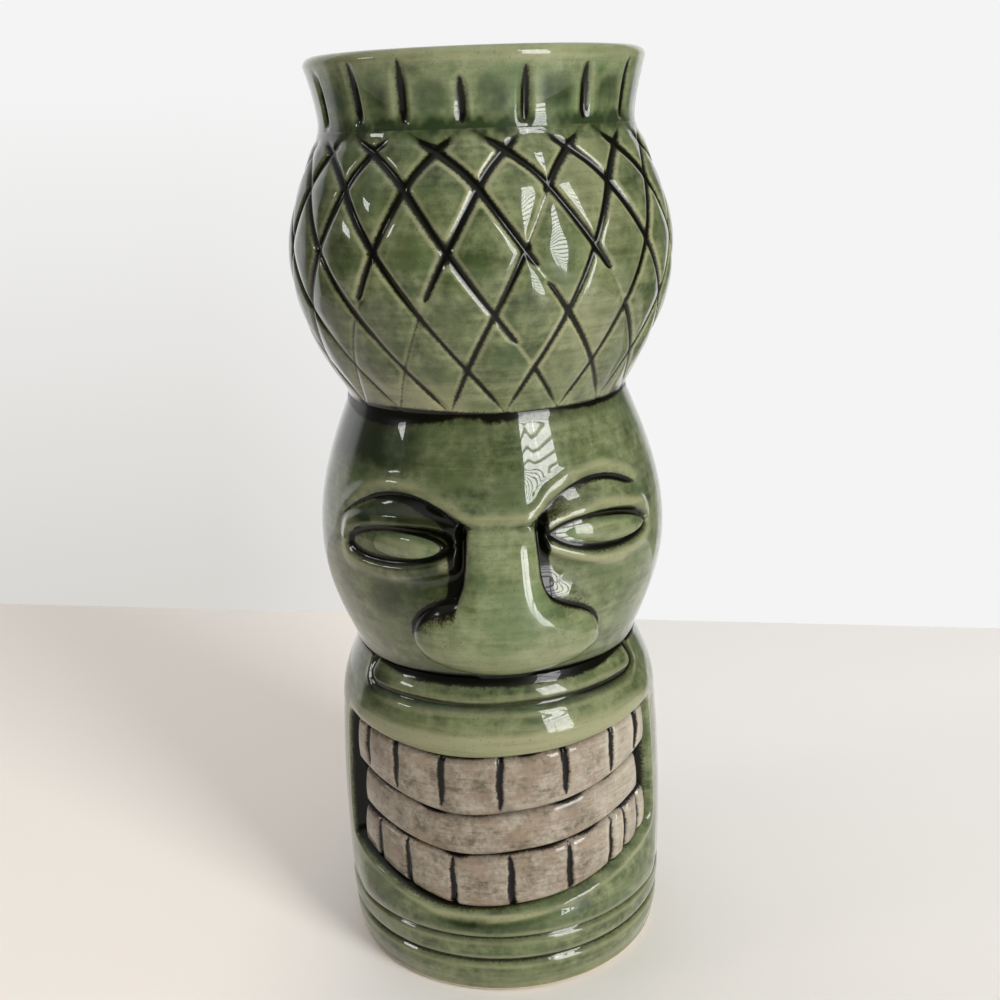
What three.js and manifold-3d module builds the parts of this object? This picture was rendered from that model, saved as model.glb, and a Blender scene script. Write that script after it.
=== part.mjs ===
// Tiki vase: a hollow slip-cast stoneware vessel in five tiers, from a grooved foot and a
// toothed mouth, through a head with nose and eyes, to a lattice-cut crown and a notched collar.
// Millimetres, +Z up. The origin is the middle of the foot, and the face looks towards -Y.
import * as THREE from 'three';
import { mergeVertices } from 'three/addons/utils/BufferGeometryUtils.js';
import Module from 'manifold-3d';

// Tier heights from the foot up; the mouth and the head are stacked from their own bands
const footHeight = 17.3;
const lowerLipHeight = 8.2;
const lowerTeethHeight = 15;
const tongueHeight = 11.5;
const upperTeethHeight = 15.7;
const upperLipHeight = 12;
const ledgeHeight = 6.7;
const browHeight = 42.2;
const browArch = 7.4;
const foreheadHeight = 15.2;
const crownHeight = 62.3;
const collarHeight = 16.5;

// Outer radii at the foot, the swellings and the creases between them
const footRadius = 41.6;
const barrelRadius = 43.2;
const neckRadius = 36.4;
const headRadius = 44.3;
const waistRadius = 34.6;
const crownRadius = 46.3;
const throatRadius = 37.4;
const rimRadius = 40.8;

// Where each tier is widest, measured up from the tier's own lower edge
const barrelWidestHeight = 18.7;
const headWidestHeight = 28.6;
const crownWidestHeight = 32.8;

// Clay and fits
const wall = 5;
const barrelWall = 7.6;
const mouthBackWall = 3;
const rimThickness = 4.2;
const floorThickness = 5;
const seatGap = 0.3;
const seatSink = 1.5;

// Foot
const footEdgeRound = 2.2;
const footRingWidth = 6;
const footRecess = 2;
const footScoreHeight = 10;
const floorFillet = 7;

// Mouth: angles in degrees from the middle of the face, rises at the corners of the smile
const shoulderHeight = 18.4;
const mouthMiddle = -3.5;
const mouthHalfAngle = 67.5;
const lowerLipRise = 11;
const tongueRise = 7.5;
const biteRise = 8.3;
const upperLipRise = 3.9;
const upperTeethDepth = 2.4;
const tongueDepth = 1.7;
const lowerTeethDepth = 2.2;
const toothPitch = 21.4;
const toothNarrowing = 1.2;
const toothRow = 3;
const toothShift = -2.4;
const toothScoreDepth = 1;
const toothScoreShare = 0.11;
const toothBow = 0.35;

// Ledge between the mouth and the head, which ends at both sides of the face
const ledgeRoll = 0.9;
const ledgeHalfAngle = 60;
const ledgeEndAngle = 4;
const scoreWidth = 2.4;
const scoreDepth = 1.2;

// Face: angles in degrees from the middle of the face
const browAngle = 36;
const browHalfAngle = 58;
const browHalfHeight = 1.7;
const browDepth = 1.5;
const browRoundness = 0.65;
const browPeak = 1.7;
const socketDepth = 2.4;
const socketExtraDepth = 1;
const socketHeight = 26;
const noseBottomHeight = 4.6;
const noseBridgeAngle = 11.8;
const nostrilAngle = 30;
const nostrilHeight = 17;
const nostrilShoulder = 7;
const nostrilTuck = 0.25;
const nostrilTuckHeight = 5;
const nostrilLift = 1.8;
const noseBridgeDepth = 2.6;
const noseReach = 1.9;
const noseDroop = 3;
const noseRoundness = 0.86;
const eyeAngle = 34.2;
const eyeHalfAngle = 19.2;
const eyeDrop = 14.2;
const eyeHalfHeight = 5;
const eyeTilt = 1.5;
const eyeDepth = 1.9;
const lidGroove = 0.9;
const lidGroovePlace = 0.72;
const lidGrooveWidth = 0.4;
const reliefEdge = 0.5;

// Crown lattice: two families of spiral grooves that cross in rows, each row a few degrees on
const latticeCount = 17;
const latticeRows = 6;
const latticeLean = 0.14;
const latticePhase = -0.1;
const latticeTwist = -1.75;
const latticeTwistRow = 3.4;
const latticeDepth = 1.2;
const latticePillow = 0.5;
const latticeFadeLow = 8;
const latticeFadeHigh = 3;
const grooveShare = 0.12;

// Collar: how fast it flares, and its notches, as many as the lattice's columns
const collarFlare = 1.7;
const notchAngle = -7;
const notchDepth = 1.3;
const notchShare = 0.08;
const notchTopMargin = 3;

// Facets
const steps = 4;
const headSegments = 60;
const bodySegments = 40;
const frontCrowding = 0.58;

// Heights and corners that follow from the sizes above
const footTop = footHeight;
const lowerLipTop = footTop + lowerLipHeight;
const lowerTeethTop = lowerLipTop + lowerTeethHeight;
const tongueTop = lowerTeethTop + tongueHeight;
const upperTeethTop = tongueTop + upperTeethHeight;
const mouthTop = upperTeethTop + upperLipHeight;
const ledgeTop = mouthTop + ledgeHeight;
const headTop = ledgeTop + browHeight + browArch + foreheadHeight;
const crownTop = headTop + crownHeight;
const rimTop = crownTop + collarHeight;
const barrelWidest = { r: barrelRadius, z: footTop + barrelWidestHeight };
const neck = { r: neckRadius, z: ledgeTop };
const headWidest = { r: headRadius, z: ledgeTop + headWidestHeight };
const waist = { r: waistRadius, z: headTop };
const crownWidest = { r: crownRadius, z: headTop + crownWidestHeight };
const throat = { r: throatRadius, z: crownTop };
const bodyBore = barrelRadius - barrelWall;
const mouthFloorRadius = bodyBore + mouthBackWall;
const noseTipRadius = headRadius + noseReach;

const wasm = await Module();
wasm.setup();

const glaze = (color) => new THREE.MeshStandardMaterial({ color, roughness: 0.12, metalness: 0 });
const greenGlaze = () => glaze(0x87966a);
const paleGreenGlaze = () => glaze(0x93a377);
const toothGlaze = () => glaze(0xafa08c);

const radians = THREE.MathUtils.degToRad;
const clamp = THREE.MathUtils.clamp;
const smooth = THREE.MathUtils.smoothstep;

// Evenly spaced heights from one level to another, both ends included
function levels(from, to, count) {
  return Array.from({ length: count + 1 }, (_, i) => from + ((to - from) * i) / count);
}

// Radius of a tier that swells from its lower crease to its widest ring and back
function swell(z, low, widest, high) {
  const end = z < widest.z ? low : high;
  const share = clamp((z - widest.z) / (end.z - widest.z), 0, 1);
  return end.r + (widest.r - end.r) * Math.cos((share * Math.PI) / 2);
}

const headOuter = (z) => swell(z, neck, headWidest, waist);
const crownOuter = (z) => swell(z, waist, crownWidest, throat);

// The foot and the mouth share one barrel, which rounds over into the neck
function barrelOuter(z) {
  const share = (z - barrelWidest.z) / barrelWidest.z;
  return barrelRadius - (barrelRadius - footRadius) * share * share;
}

function bodyOuter(z) {
  const shoulder = neck.z - shoulderHeight;
  if (z <= shoulder) return barrelOuter(z);
  const turn = ((z - shoulder) / shoulderHeight) * (Math.PI / 2);
  return neck.r + (barrelOuter(shoulder) - neck.r) * Math.cos(turn);
}

function bodyInner(z) {
  return Math.min(bodyBore, bodyOuter(z) - wall);
}

// The collar flares slowly at its foot and faster at the rim
function collarOuter(z) {
  const share = clamp((z - crownTop) / collarHeight, 0, 1);
  return throat.r + (rimRadius - throat.r) * share ** collarFlare;
}

// A rounded score of the given depth, at a distance from its middle line
function score(distance, width, depth) {
  const share = clamp(Math.abs(distance) / (width / 2), 0, 1);
  return (-depth * (1 + Math.cos(share * Math.PI))) / 2;
}

// Lets the ledge's roll and score fade into the body's skin at both sides of the face
function keptToFront(geometry) {
  return reshape(geometry, ({ angle, r, z }) => {
    const relief = r - bodyOuter(z);
    const worked = z > mouthTop - scoreWidth / 2 && Math.abs(relief) < wall / 2;
    const from = radians(ledgeHalfAngle - ledgeEndAngle);
    const share = 1 - smooth(Math.abs(angle), from, radians(ledgeHalfAngle + ledgeEndAngle));
    return { angle, z, r: worked ? bodyOuter(z) + relief * share : r };
  });
}

// Closed outline of a ring: up its outer rows, down its inner rows and back to the start
function ringProfile(outerRows, outerOf, innerRows, innerOf) {
  const up = outerRows.map((z) => new THREE.Vector2(outerOf(z), z));
  const down = innerRows.map((z) => new THREE.Vector2(innerOf(z), z)).reverse();
  return [...up, ...down, up[0].clone()];
}

function turned(profile, segments) {
  return new THREE.LatheGeometry(profile, segments).rotateX(Math.PI / 2);
}

// Moves every vertex by a function of its angle from the front, its radius and its height
function reshape(geometry, change) {
  const position = geometry.attributes.position;
  for (let i = 0; i < position.count; i++) {
    const point = {
      angle: Math.atan2(position.getX(i), -position.getY(i)),
      r: Math.hypot(position.getX(i), position.getY(i)),
      z: position.getZ(i),
    };
    const { angle, r, z } = change(point, i);
    position.setXYZ(i, r * Math.sin(angle), -r * Math.cos(angle), z);
  }
  return geometry;
}

// Joins shared vertices and drops the slivers that a lathe leaves on its axis
function welded(geometry) {
  geometry.deleteAttribute('normal');
  geometry.deleteAttribute('uv');
  const joined = mergeVertices(geometry, 1e-4);
  const corners = Array.from(joined.index.array);
  const kept = [];
  for (let i = 0; i < corners.length; i += 3) {
    const [a, b, c] = corners.slice(i, i + 3);
    if (a !== b && b !== c && c !== a) kept.push(a, b, c);
  }
  joined.setIndex(kept);
  joined.computeVertexNormals();
  return joined;
}

function toSolid(geometry) {
  const closed = welded(geometry);
  const vertProperties = new Float32Array(closed.attributes.position.array);
  const triVerts = new Uint32Array(closed.index.array);
  return new wasm.Manifold(new wasm.Mesh({ numProp: 3, vertProperties, triVerts }));
}

function toGeometry(solid) {
  const { vertProperties, triVerts } = solid.getMesh();
  const geometry = new THREE.BufferGeometry();
  geometry.setAttribute('position', new THREE.BufferAttribute(vertProperties, 3));
  geometry.setIndex(Array.from(triVerts));
  geometry.computeVertexNormals();
  return geometry;
}

function part(name, geometry, material) {
  const mesh = new THREE.Mesh(geometry, material);
  mesh.name = name;
  return mesh;
}

// A bent slab: u runs round the vase, v upwards and w outwards from back (0) to front (1)
function slab(columns, rows, place) {
  const box = new THREE.BoxGeometry(2, 2, 1, columns, rows, 1);
  const position = box.attributes.position;
  for (let i = 0; i < position.count; i++) {
    const w = position.getZ(i) + 0.5;
    const { angle, r, z } = place(position.getX(i), position.getY(i), w);
    position.setXYZ(i, r * Math.sin(angle), -r * Math.cos(angle), z);
  }
  return box;
}

// Spreads evenly spaced angles so that they crowd together on the face
function crowdedToFront(angle) {
  return angle - frontCrowding * Math.sin(angle);
}

// Foot: a closed floor on a flat ring, with one score round it
function foot() {
  const outerRows = [
    ...levels(footEdgeRound, footScoreHeight - scoreWidth / 2, 2),
    footScoreHeight,
    ...levels(footScoreHeight + scoreWidth / 2, footTop - scoreWidth / 2, 1),
    footTop,
  ];
  const outerOf = (z) => {
    const ring = score(z - footScoreHeight, scoreWidth, scoreDepth);
    return barrelOuter(z) + ring + score(z - footTop, scoreWidth, scoreDepth);
  };
  const edge = levels(0, Math.PI / 2, 2).map((turn) => new THREE.Vector2(
    barrelOuter(0) - footEdgeRound * (1 - Math.sin(turn)),
    footEdgeRound * (1 - Math.cos(turn)),
  ));
  const ringInner = barrelOuter(0) - footEdgeRound - footRingWidth;
  const floorTop = footRecess + floorThickness;
  const fillet = levels(0, Math.PI / 2, 3).map((turn) => new THREE.Vector2(
    bodyBore - floorFillet * (1 - Math.cos(turn)),
    floorTop + floorFillet * (1 - Math.sin(turn)),
  ));
  const profile = [
    new THREE.Vector2(0, footRecess),
    new THREE.Vector2(ringInner - footRecess, footRecess),
    new THREE.Vector2(ringInner, 0),
    ...edge,
    ...outerRows.slice(1).map((z) => new THREE.Vector2(outerOf(z), z)),
    new THREE.Vector2(bodyBore, footTop),
    ...fillet,
    new THREE.Vector2(0, floorTop),
  ];
  return part('foot', welded(turned(profile, bodySegments)), greenGlaze());
}

// Levels of the mouth's lines at an angle from the middle of the face
const smile = (angle, rise) => rise * Math.sin(angle) ** 2;
const lowerLipLine = (angle) => lowerLipTop + smile(angle, lowerLipRise);
const tongueLine = (angle) => lowerTeethTop + smile(angle, tongueRise);
const biteLine = (angle) => tongueTop + smile(angle, biteRise);
const upperLipLine = (angle) => upperTeethTop + smile(angle, upperLipRise);

// Mouth tier: the barrel's wall, with a recess cut for the teeth that leaves a back wall
function mouthTier() {
  const outerRows = [
    footTop,
    ...levels(footTop + scoreWidth / 2, mouthTop - scoreWidth / 2, 9),
    mouthTop,
  ];
  const outerOf = (z) => {
    const lower = score(z - footTop, scoreWidth, scoreDepth);
    return bodyOuter(z) + lower + score(z - mouthTop, scoreWidth, scoreDepth);
  };
  const innerRows = [footTop, ...levels(neck.z - shoulderHeight, mouthTop, 2)];
  const profile = ringProfile(outerRows, outerOf, innerRows, bodyInner);
  const barrel = toSolid(keptToFront(turned(profile, bodySegments)));
  const recess = toSolid(slab(24, 1, (u, v, w) => {
    const angle = radians(mouthMiddle + mouthHalfAngle * u);
    const z = v < 0 ? lowerLipLine(angle) : upperLipLine(angle);
    return { angle, z, r: w ? barrelRadius + wall : mouthFloorRadius };
  }));
  return part('mouth_tier', toGeometry(barrel.subtract(recess)), greenGlaze());
}

// Edges of the teeth: a middle line and three to each side, closer together at the corners
function toothEdges() {
  const offsets = Array.from({ length: toothRow }, (_, i) => {
    return toothPitch * (i + 1) - toothNarrowing * (i + 1) ** 2;
  });
  const left = offsets.map((offset) => toothShift - offset).reverse();
  const right = offsets.map((offset) => toothShift + offset);
  const first = mouthMiddle - mouthHalfAngle;
  return [first, ...left, toothShift, ...right, mouthMiddle + mouthHalfAngle];
}

// A band of the mouth that lies in the recess between two lines, scored into teeth
function mouthBand(name, lower, upper, depth, scored) {
  const edges = toothEdges();
  const count = edges.length - 1;
  const within = [0, toothScoreShare, 0.5, 1 - toothScoreShare];
  const gapAngle = seatGap / mouthFloorRadius;
  const band = slab(count * steps, 2, (u, v, w) => {
    const column = Math.round(((u + 1) / 2) * count * steps);
    const tooth = Math.min(Math.floor(column / steps), count - 1);
    const share = column === count * steps ? 1 : within[column % steps];
    const edge = edges[tooth] + (edges[tooth + 1] - edges[tooth]) * share;
    const angle = clamp(
      radians(edge),
      radians(mouthMiddle - mouthHalfAngle) + gapAngle,
      radians(mouthMiddle + mouthHalfAngle) - gapAngle,
    );
    const low = lower(angle) + seatGap / 2;
    const z = low + ((upper(angle) - seatGap / 2 - low) * (v + 1)) / 2;
    const cut = scored && (share === 0 || share === 1) ? toothScoreDepth : 0;
    const front = depth - cut - toothBow * v * v;
    return { angle, z, r: mouthFloorRadius + seatGap + w * front };
  });
  return part(name, welded(band), toothGlaze());
}

function mouthBands() {
  const lowest = (angle) => lowerLipLine(angle) + seatGap / 2;
  const highest = (angle) => upperLipLine(angle) - seatGap / 2;
  return [
    mouthBand('lower_teeth', lowest, tongueLine, lowerTeethDepth, true),
    mouthBand('tongue', tongueLine, biteLine, tongueDepth, false),
    mouthBand('upper_teeth', biteLine, highest, upperTeethDepth, true),
  ];
}

// Ledge: the roll above the upper lip that carries the head
function ledge() {
  const outerOf = (z) => {
    const share = (z - mouthTop) / ledgeHeight;
    const roll = ledgeRoll * Math.sin(share * Math.PI);
    return bodyOuter(z) + roll + score(z - mouthTop, scoreWidth, scoreDepth);
  };
  const outerRows = [mouthTop, ...levels(mouthTop + scoreWidth / 2, ledgeTop, 4)];
  const innerRows = levels(mouthTop, ledgeTop, 2);
  const profile = ringProfile(outerRows, outerOf, innerRows, bodyInner);
  return part('lip_ledge', welded(keptToFront(turned(profile, bodySegments))), greenGlaze());
}

// Height of the brow's crest: low over the nose and arched over each eye
function browLine(angle) {
  const side = clamp(Math.abs(angle) / radians(browAngle), 0, 2);
  return ledgeTop + browHeight + browArch * Math.sin((side * Math.PI) / 2) ** browPeak;
}

// Relief of the face: hollows below the brow that hold the eyes, deepest beside the nose
function faceRelief(angle, z) {
  const below = browLine(angle) - z;
  const away = Math.abs(angle);
  const edge = radians(browHalfAngle);
  const spread = 1 - smooth(away, edge * 0.75, edge);
  const beside = 1 - smooth(away, edge * 0.25, edge * 0.6);
  const under = smooth(below, 0, browHalfHeight * 2);
  const above = 1 - smooth(below, socketHeight / 2, socketHeight);
  return -(socketDepth + socketExtraDepth * beside) * spread * under * above;
}

const headSurface = (angle, z) => headOuter(z) + faceRelief(angle, z);

// The head's ring, with its outer skin moved out by a margin
function headShell(margin) {
  const outerRows = levels(ledgeTop, headTop, 17);
  const innerRows = levels(ledgeTop, headTop, 4);
  const innerOf = (z) => headOuter(z) - wall;
  const profile = ringProfile(outerRows, headOuter, innerRows, innerOf);
  const outerCount = outerRows.length;
  return reshape(turned(profile, headSegments), (point, i) => {
    const angle = crowdedToFront(point.angle);
    const row = i % profile.length;
    const inside = row >= outerCount && row < profile.length - 1;
    const r = inside ? point.r : headSurface(angle, point.z) + margin;
    return { angle, r, z: point.z };
  });
}

function head() {
  return part('head', welded(headShell(0)), greenGlaze());
}

// Seats a piece on the head: what lies within the seat's gap of the head's skin is cut away
function seatedOnHead(shape) {
  return toGeometry(toSolid(shape).subtract(toSolid(headShell(seatGap))));
}

// Brow: one roll that dips over the nose and arches over both eyes
function brow() {
  const shape = slab(26, 2, (u, v, w) => {
    const angle = radians(browHalfAngle) * u;
    const taper = Math.sqrt(1 - 0.9 * u ** 6);
    const z = browLine(angle) + browHalfHeight * taper * v;
    const skin = headSurface(angle, z) + seatGap;
    const front = skin + browDepth * taper * (1 - browRoundness * v * v);
    return { angle, z, r: w ? front : skin - seatSink };
  });
  return part('brow', seatedOnHead(shape), paleGreenGlaze());
}

// Nose: straight sides below the brow that flare into two wide nostrils
function nose() {
  const top = browLine(0) - browHalfHeight - seatGap;
  const bottom = ledgeTop + noseBottomHeight;
  const flare = ledgeTop + nostrilHeight;
  const halfAngle = (z) => {
    const spread = 1 - smooth(z, flare, flare + nostrilShoulder);
    const tuck = 1 - nostrilTuck * (1 - smooth(z, bottom, bottom + nostrilTuckHeight));
    return radians(noseBridgeAngle + (nostrilAngle - noseBridgeAngle) * spread) * tuck;
  };
  const bridge = headOuter(top) + noseBridgeDepth;
  const shape = slab(10, 11, (u, v, w) => {
    const rise = (v + 1) / 2;
    const level = bottom + (top - bottom) * rise;
    const angle = halfAngle(level) * u;
    const z = level + nostrilLift * u * u * (1 - rise) ** 2;
    const skin = headSurface(angle, z) + seatGap;
    const ridge = noseTipRadius + (bridge - noseTipRadius) * smooth(rise, 0.1, 1);
    const full = ridge - noseDroop * (1 - smooth(rise, 0, 0.16));
    const round = Math.sqrt(1 - noseRoundness * u ** 4);
    const proud = Math.max(reliefEdge, (full - skin) * round);
    const front = Math.min(skin + proud, noseTipRadius);
    return { angle, z, r: w ? front : skin - seatSink };
  });
  return part('nose', seatedOnHead(shape), paleGreenGlaze());
}

// Eye: an almond with a raised ball inside a grooved lid, seated in its hollow
function eye(name, side) {
  const middle = browLine(radians(browAngle)) - eyeDrop;
  const shape = slab(12, 6, (u, v, w) => {
    const angle = side * radians(eyeAngle) + radians(eyeHalfAngle) * u;
    const bow = Math.max(0.12, 1 - u * u);
    const z = middle - side * eyeTilt * u + eyeHalfHeight * v * bow;
    const skin = headSurface(angle, z) + seatGap;
    const lid = score(Math.abs(v) - lidGroovePlace, lidGrooveWidth, lidGroove) * bow;
    const ball = (eyeDepth - reliefEdge) * bow * (1 - 0.4 * v * v);
    const front = skin + reliefEdge + ball + lid;
    return { angle, z, r: w ? front : skin - seatSink };
  });
  return part(name, seatedOnHead(shape), greenGlaze());
}

// Height of a row of crossings: rows stand closer together towards the top
function latticeHeight(row) {
  const share = row / latticeRows;
  return headTop + crownHeight * (share + latticeLean * Math.sin(Math.PI * share * share));
}

// Pulls the quarter lines of a cell towards its grooves, so that each groove is narrow
function crowdedToLines(value) {
  const whole = Math.floor(value);
  const share = value - whole;
  if (share === 0.25) return whole + grooveShare;
  if (share === 0.75) return whole + 1 - grooveShare;
  return value;
}

// Depth below the crown's skin for a place given by its two spiral coordinates
function latticeRelief(left, right, z) {
  const near = (value) => Math.abs(value - Math.round(value));
  const cut = (value) => 1 - clamp(near(value) / grooveShare, 0, 1);
  const low = smooth(z, headTop, headTop + latticeFadeLow);
  const high = 1 - smooth(z, crownTop - latticeFadeHigh, crownTop);
  const pillow = Math.sin(Math.PI * left) ** 2 * Math.sin(Math.PI * right) ** 2;
  const groove = latticeDepth * Math.max(cut(left), cut(right));
  return low * high * (latticePillow * pillow - groove);
}

// Turns the diagonals of every second band, so that facets follow both families of grooves
function crossDiagonals(lathe, rowCount, bands) {
  const corners = lathe.index.array;
  for (let i = 0; i < corners.length; i += 6) {
    const a = corners[i];
    const band = a % rowCount;
    if (band < bands && band % 2 === 1) {
      const b = a + rowCount;
      corners.set([a, b, b + 1, a, b + 1, a + 1], i);
    }
  }
}

function crown() {
  const bands = latticeRows * steps;
  const outerRows = Array.from({ length: bands + 1 }, (_, i) => latticeHeight(i / steps));
  const innerRows = levels(headTop, crownTop, 4);
  const innerOf = (z) => crownOuter(z) - wall;
  const profile = ringProfile(outerRows, crownOuter, innerRows, innerOf);
  const lathe = new THREE.LatheGeometry(profile, latticeCount * steps);
  crossDiagonals(lathe, profile.length, bands);
  const pitch = (2 * Math.PI) / latticeCount;
  const cut = reshape(lathe.rotateX(Math.PI / 2), (point, i) => {
    const column = Math.floor(i / profile.length);
    const step = i % profile.length;
    const start = latticePhase * pitch;
    if (step > bands && step < profile.length - 1) {
      return { ...point, angle: start + (column / steps) * pitch };
    }
    const band = step > bands ? 0 : step;
    const along = (column + (band % 2) / 2) / steps;
    const left = crowdedToLines(along - band / steps / 2);
    const right = crowdedToLines(along + band / steps / 2);
    const row = right - left;
    const z = latticeHeight(row);
    const twist = radians(latticeTwist) * (row - latticeTwistRow);
    const angle = start + ((left + right) / 2) * pitch + twist;
    return { angle, z, r: crownOuter(z) + latticeRelief(left, right, z) };
  });
  return part('crown', welded(cut), greenGlaze());
}

// Collar: a flared ring with a rounded lip and a row of tapered notches
function collar() {
  const lipRadius = rimThickness / 2;
  const lipLevel = rimTop - lipRadius;
  const outerRows = levels(crownTop, lipLevel, 4);
  const lip = levels(0, Math.PI, 4).slice(1, -1).map((turn) => new THREE.Vector2(
    collarOuter(lipLevel) - lipRadius * (1 - Math.cos(turn)),
    lipLevel + lipRadius * Math.sin(turn),
  ));
  const innerOf = (z) => {
    const share = (z - crownTop) / (lipLevel - crownTop);
    return collarOuter(z) - wall + (wall - rimThickness) * share;
  };
  const inner = levels(crownTop, lipLevel, 2).reverse();
  const profile = [
    ...outerRows.map((z) => new THREE.Vector2(collarOuter(z), z)),
    ...lip,
    ...inner.map((z) => new THREE.Vector2(innerOf(z), z)),
    new THREE.Vector2(collarOuter(crownTop), crownTop),
  ];
  const pitch = (2 * Math.PI) / latticeCount;
  const within = [0, notchShare, 0.5, 1 - notchShare];
  const notched = reshape(turned(profile, latticeCount * steps), (point, i) => {
    const column = Math.floor(i / profile.length);
    const row = i % profile.length;
    const share = within[column % steps];
    const cell = Math.floor(column / steps) + share;
    const angle = radians(notchAngle) + cell * pitch;
    const along = (2 * (point.z - crownTop)) / (lipLevel - notchTopMargin - crownTop) - 1;
    const between = row > 0 && row < outerRows.length;
    const cut = share === 0 && between ? notchDepth * Math.sqrt(clamp(1 - along ** 2, 0, 1)) : 0;
    return { angle, r: point.r - cut, z: point.z };
  });
  return part('collar', welded(notched), paleGreenGlaze());
}

const vase = new THREE.Group();
vase.add(
  foot(),
  mouthTier(),
  ...mouthBands(),
  ledge(),
  head(),
  brow(),
  nose(),
  eye('left_eye', -1),
  eye('right_eye', 1),
  crown(),
  collar(),
);

export default vase;
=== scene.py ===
"""Tiki vase: the glazed surfaces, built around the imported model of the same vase.

Sizes are in millimetres and angles in degrees from the middle of the face, which looks towards -Y.
Each mesh is scaled to metres as it is written.
"""

import logging
import math
from dataclasses import dataclass, field
from enum import Enum

import bmesh
import bpy
import numpy as np
from mathutils import Matrix, Vector


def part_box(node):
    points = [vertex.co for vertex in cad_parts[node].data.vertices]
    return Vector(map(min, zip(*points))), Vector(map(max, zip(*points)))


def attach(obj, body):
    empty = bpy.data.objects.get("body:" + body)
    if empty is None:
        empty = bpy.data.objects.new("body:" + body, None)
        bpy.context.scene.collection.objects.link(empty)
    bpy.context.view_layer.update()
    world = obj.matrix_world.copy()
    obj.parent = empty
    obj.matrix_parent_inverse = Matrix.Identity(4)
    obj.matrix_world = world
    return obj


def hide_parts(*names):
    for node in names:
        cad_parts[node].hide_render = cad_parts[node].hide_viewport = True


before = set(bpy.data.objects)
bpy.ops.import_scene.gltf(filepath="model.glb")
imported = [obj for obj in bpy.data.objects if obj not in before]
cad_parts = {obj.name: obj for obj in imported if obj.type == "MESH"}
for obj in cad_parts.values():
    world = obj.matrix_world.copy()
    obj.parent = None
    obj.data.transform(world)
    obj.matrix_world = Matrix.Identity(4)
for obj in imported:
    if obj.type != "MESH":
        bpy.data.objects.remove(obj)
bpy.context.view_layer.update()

LOG = logging.getLogger("tiki_vase")
MM = 0.001
Array = np.ndarray
Span = tuple[float, float]
Socket = bpy.types.NodeSocket

FAR = 9.0            # Millimetres from an edge at which it leaves no mark.
INK_FADE = 0.55      # Ink lost with each millimetre away from the edge of a dark patch.
WHOLE = 0.9999       # From here on a share counts as 1.
WALL_MIDDLE = 1.5    # Past this, places of a ring's grid lie on its outer side.
LENS_MIDDLE = 0.5    # Past this, places of a lens's or a slab's grid lie on its front.
SAME_PLACE = 1e-5    # Corners of a wrapped grid closer than this are one corner.
SHARP_ANGLE = 60.0   # Edges that turn by more degrees are shaded as sharp.
MARKS = ("ink", "thin", "deep")    # The marks that a skin carries and its glaze reads.


def smooth(value: Array, low: float, high: float) -> Array:
    """Rises smoothly from 0 at low to 1 at high, which may lie below low."""
    share = np.clip((value - low) / (high - low), 0, 1)
    return share * share * (3 - 2 * share)


def hump(distance: Array, half: Array | float) -> Array:
    """Falls like a cosine from 1 at no distance to 0 at half."""
    return 0.5 * (1 + np.cos(np.pi * np.clip(np.abs(distance) / half, 0, 1)))


def ink_within(gap: Array) -> Array:
    """Ink at a distance in millimetres outside the edge of a dark patch: a half on that edge."""
    return np.clip(0.5 - INK_FADE * gap, 0, 1)


def blended_min(first: Array, second: Array, reach: float) -> Array:
    """The smaller of two distances, rounded over a reach where they are close."""
    share = np.clip(0.5 + 0.5 * (second - first) / reach, 0, 1)
    return second * (1 - share) + first * share - reach * share * (1 - share)


def unevenness(angle: Array, height: Array, seed: int, pitch: float = 40) -> Array:
    """Slow waves of hand work, from about -1 to 1, which close round the vase.

    Args:
        angle: Angles in degrees.
        height: Heights in millimetres.
        seed: Picks the waves.
        pitch: Height in millimetres in which a wave turns once.

    Returns:
        The waves at those places.
    """
    random = np.random.default_rng(seed)
    total = np.zeros_like(angle)
    for turns in (1, 2, 3, 5, 7):
        start, lean = random.uniform(0, 2 * np.pi), random.uniform(-1, 1)
        total += np.sin(turns * np.radians(angle) + start + lean * 2 * np.pi * height / pitch)
    return total / 3


def roughness(angle: Array, height: Array, seed: int) -> Array:
    """Quick waves of a dry brush, a few millimetres long, from about -1 to 1."""
    coarse = unevenness(angle * 6, height, seed, pitch=9)
    return 0.6 * coarse + 0.5 * unevenness(angle * 17, height, seed + 1, pitch=3)


def crowded(angle: Array, amount: float) -> Array:
    """Draws columns that are spread evenly round the vase together at the middle of the face."""
    return angle - amount * np.degrees(np.sin(np.radians(angle)))


def rounded_loop(points: list[Span], per: int) -> Array:
    """Runs a closed Catmull-Rom curve through a few points.

    Args:
        points: The points, in order.
        per: Points made for each stretch.

    Returns:
        The curve as an array of points.
    """
    chosen = np.array(points, float)
    padded = np.vstack([chosen[-1:], chosen, chosen[:2]])
    share = np.linspace(0, 1, per, endpoint=False)[:, None]
    made = []
    for before, start, end, after in zip(padded, padded[1:], padded[2:], padded[3:]):
        bend = 2 * before - 5 * start + 4 * end - after
        swing = 3 * (start - end) + after - before
        made.append(0.5 * (2 * start + (end - before) * share + bend * share**2 + swing * share**3))
    return np.vstack(made)


def distance_to(loop: Array, across: Array, height: Array) -> Array:
    """Distance from places to the nearest point of a dense loop.

    Args:
        loop: Points of the loop, in millimetres.
        across: First coordinate of the places.
        height: Second coordinate of the places.

    Returns:
        The distances.
    """
    nearest = np.full(across.shape, np.inf)
    for start, end in zip(loop, np.roll(loop, -1, axis=0)):
        step = end - start
        share = ((across - start[0]) * step[0] + (height - start[1]) * step[1]) / (step @ step)
        share = np.clip(share, 0, 1)
        gap = np.hypot(across - start[0] - share * step[0], height - start[1] - share * step[1])
        nearest = np.minimum(nearest, gap)
    return nearest


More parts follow.
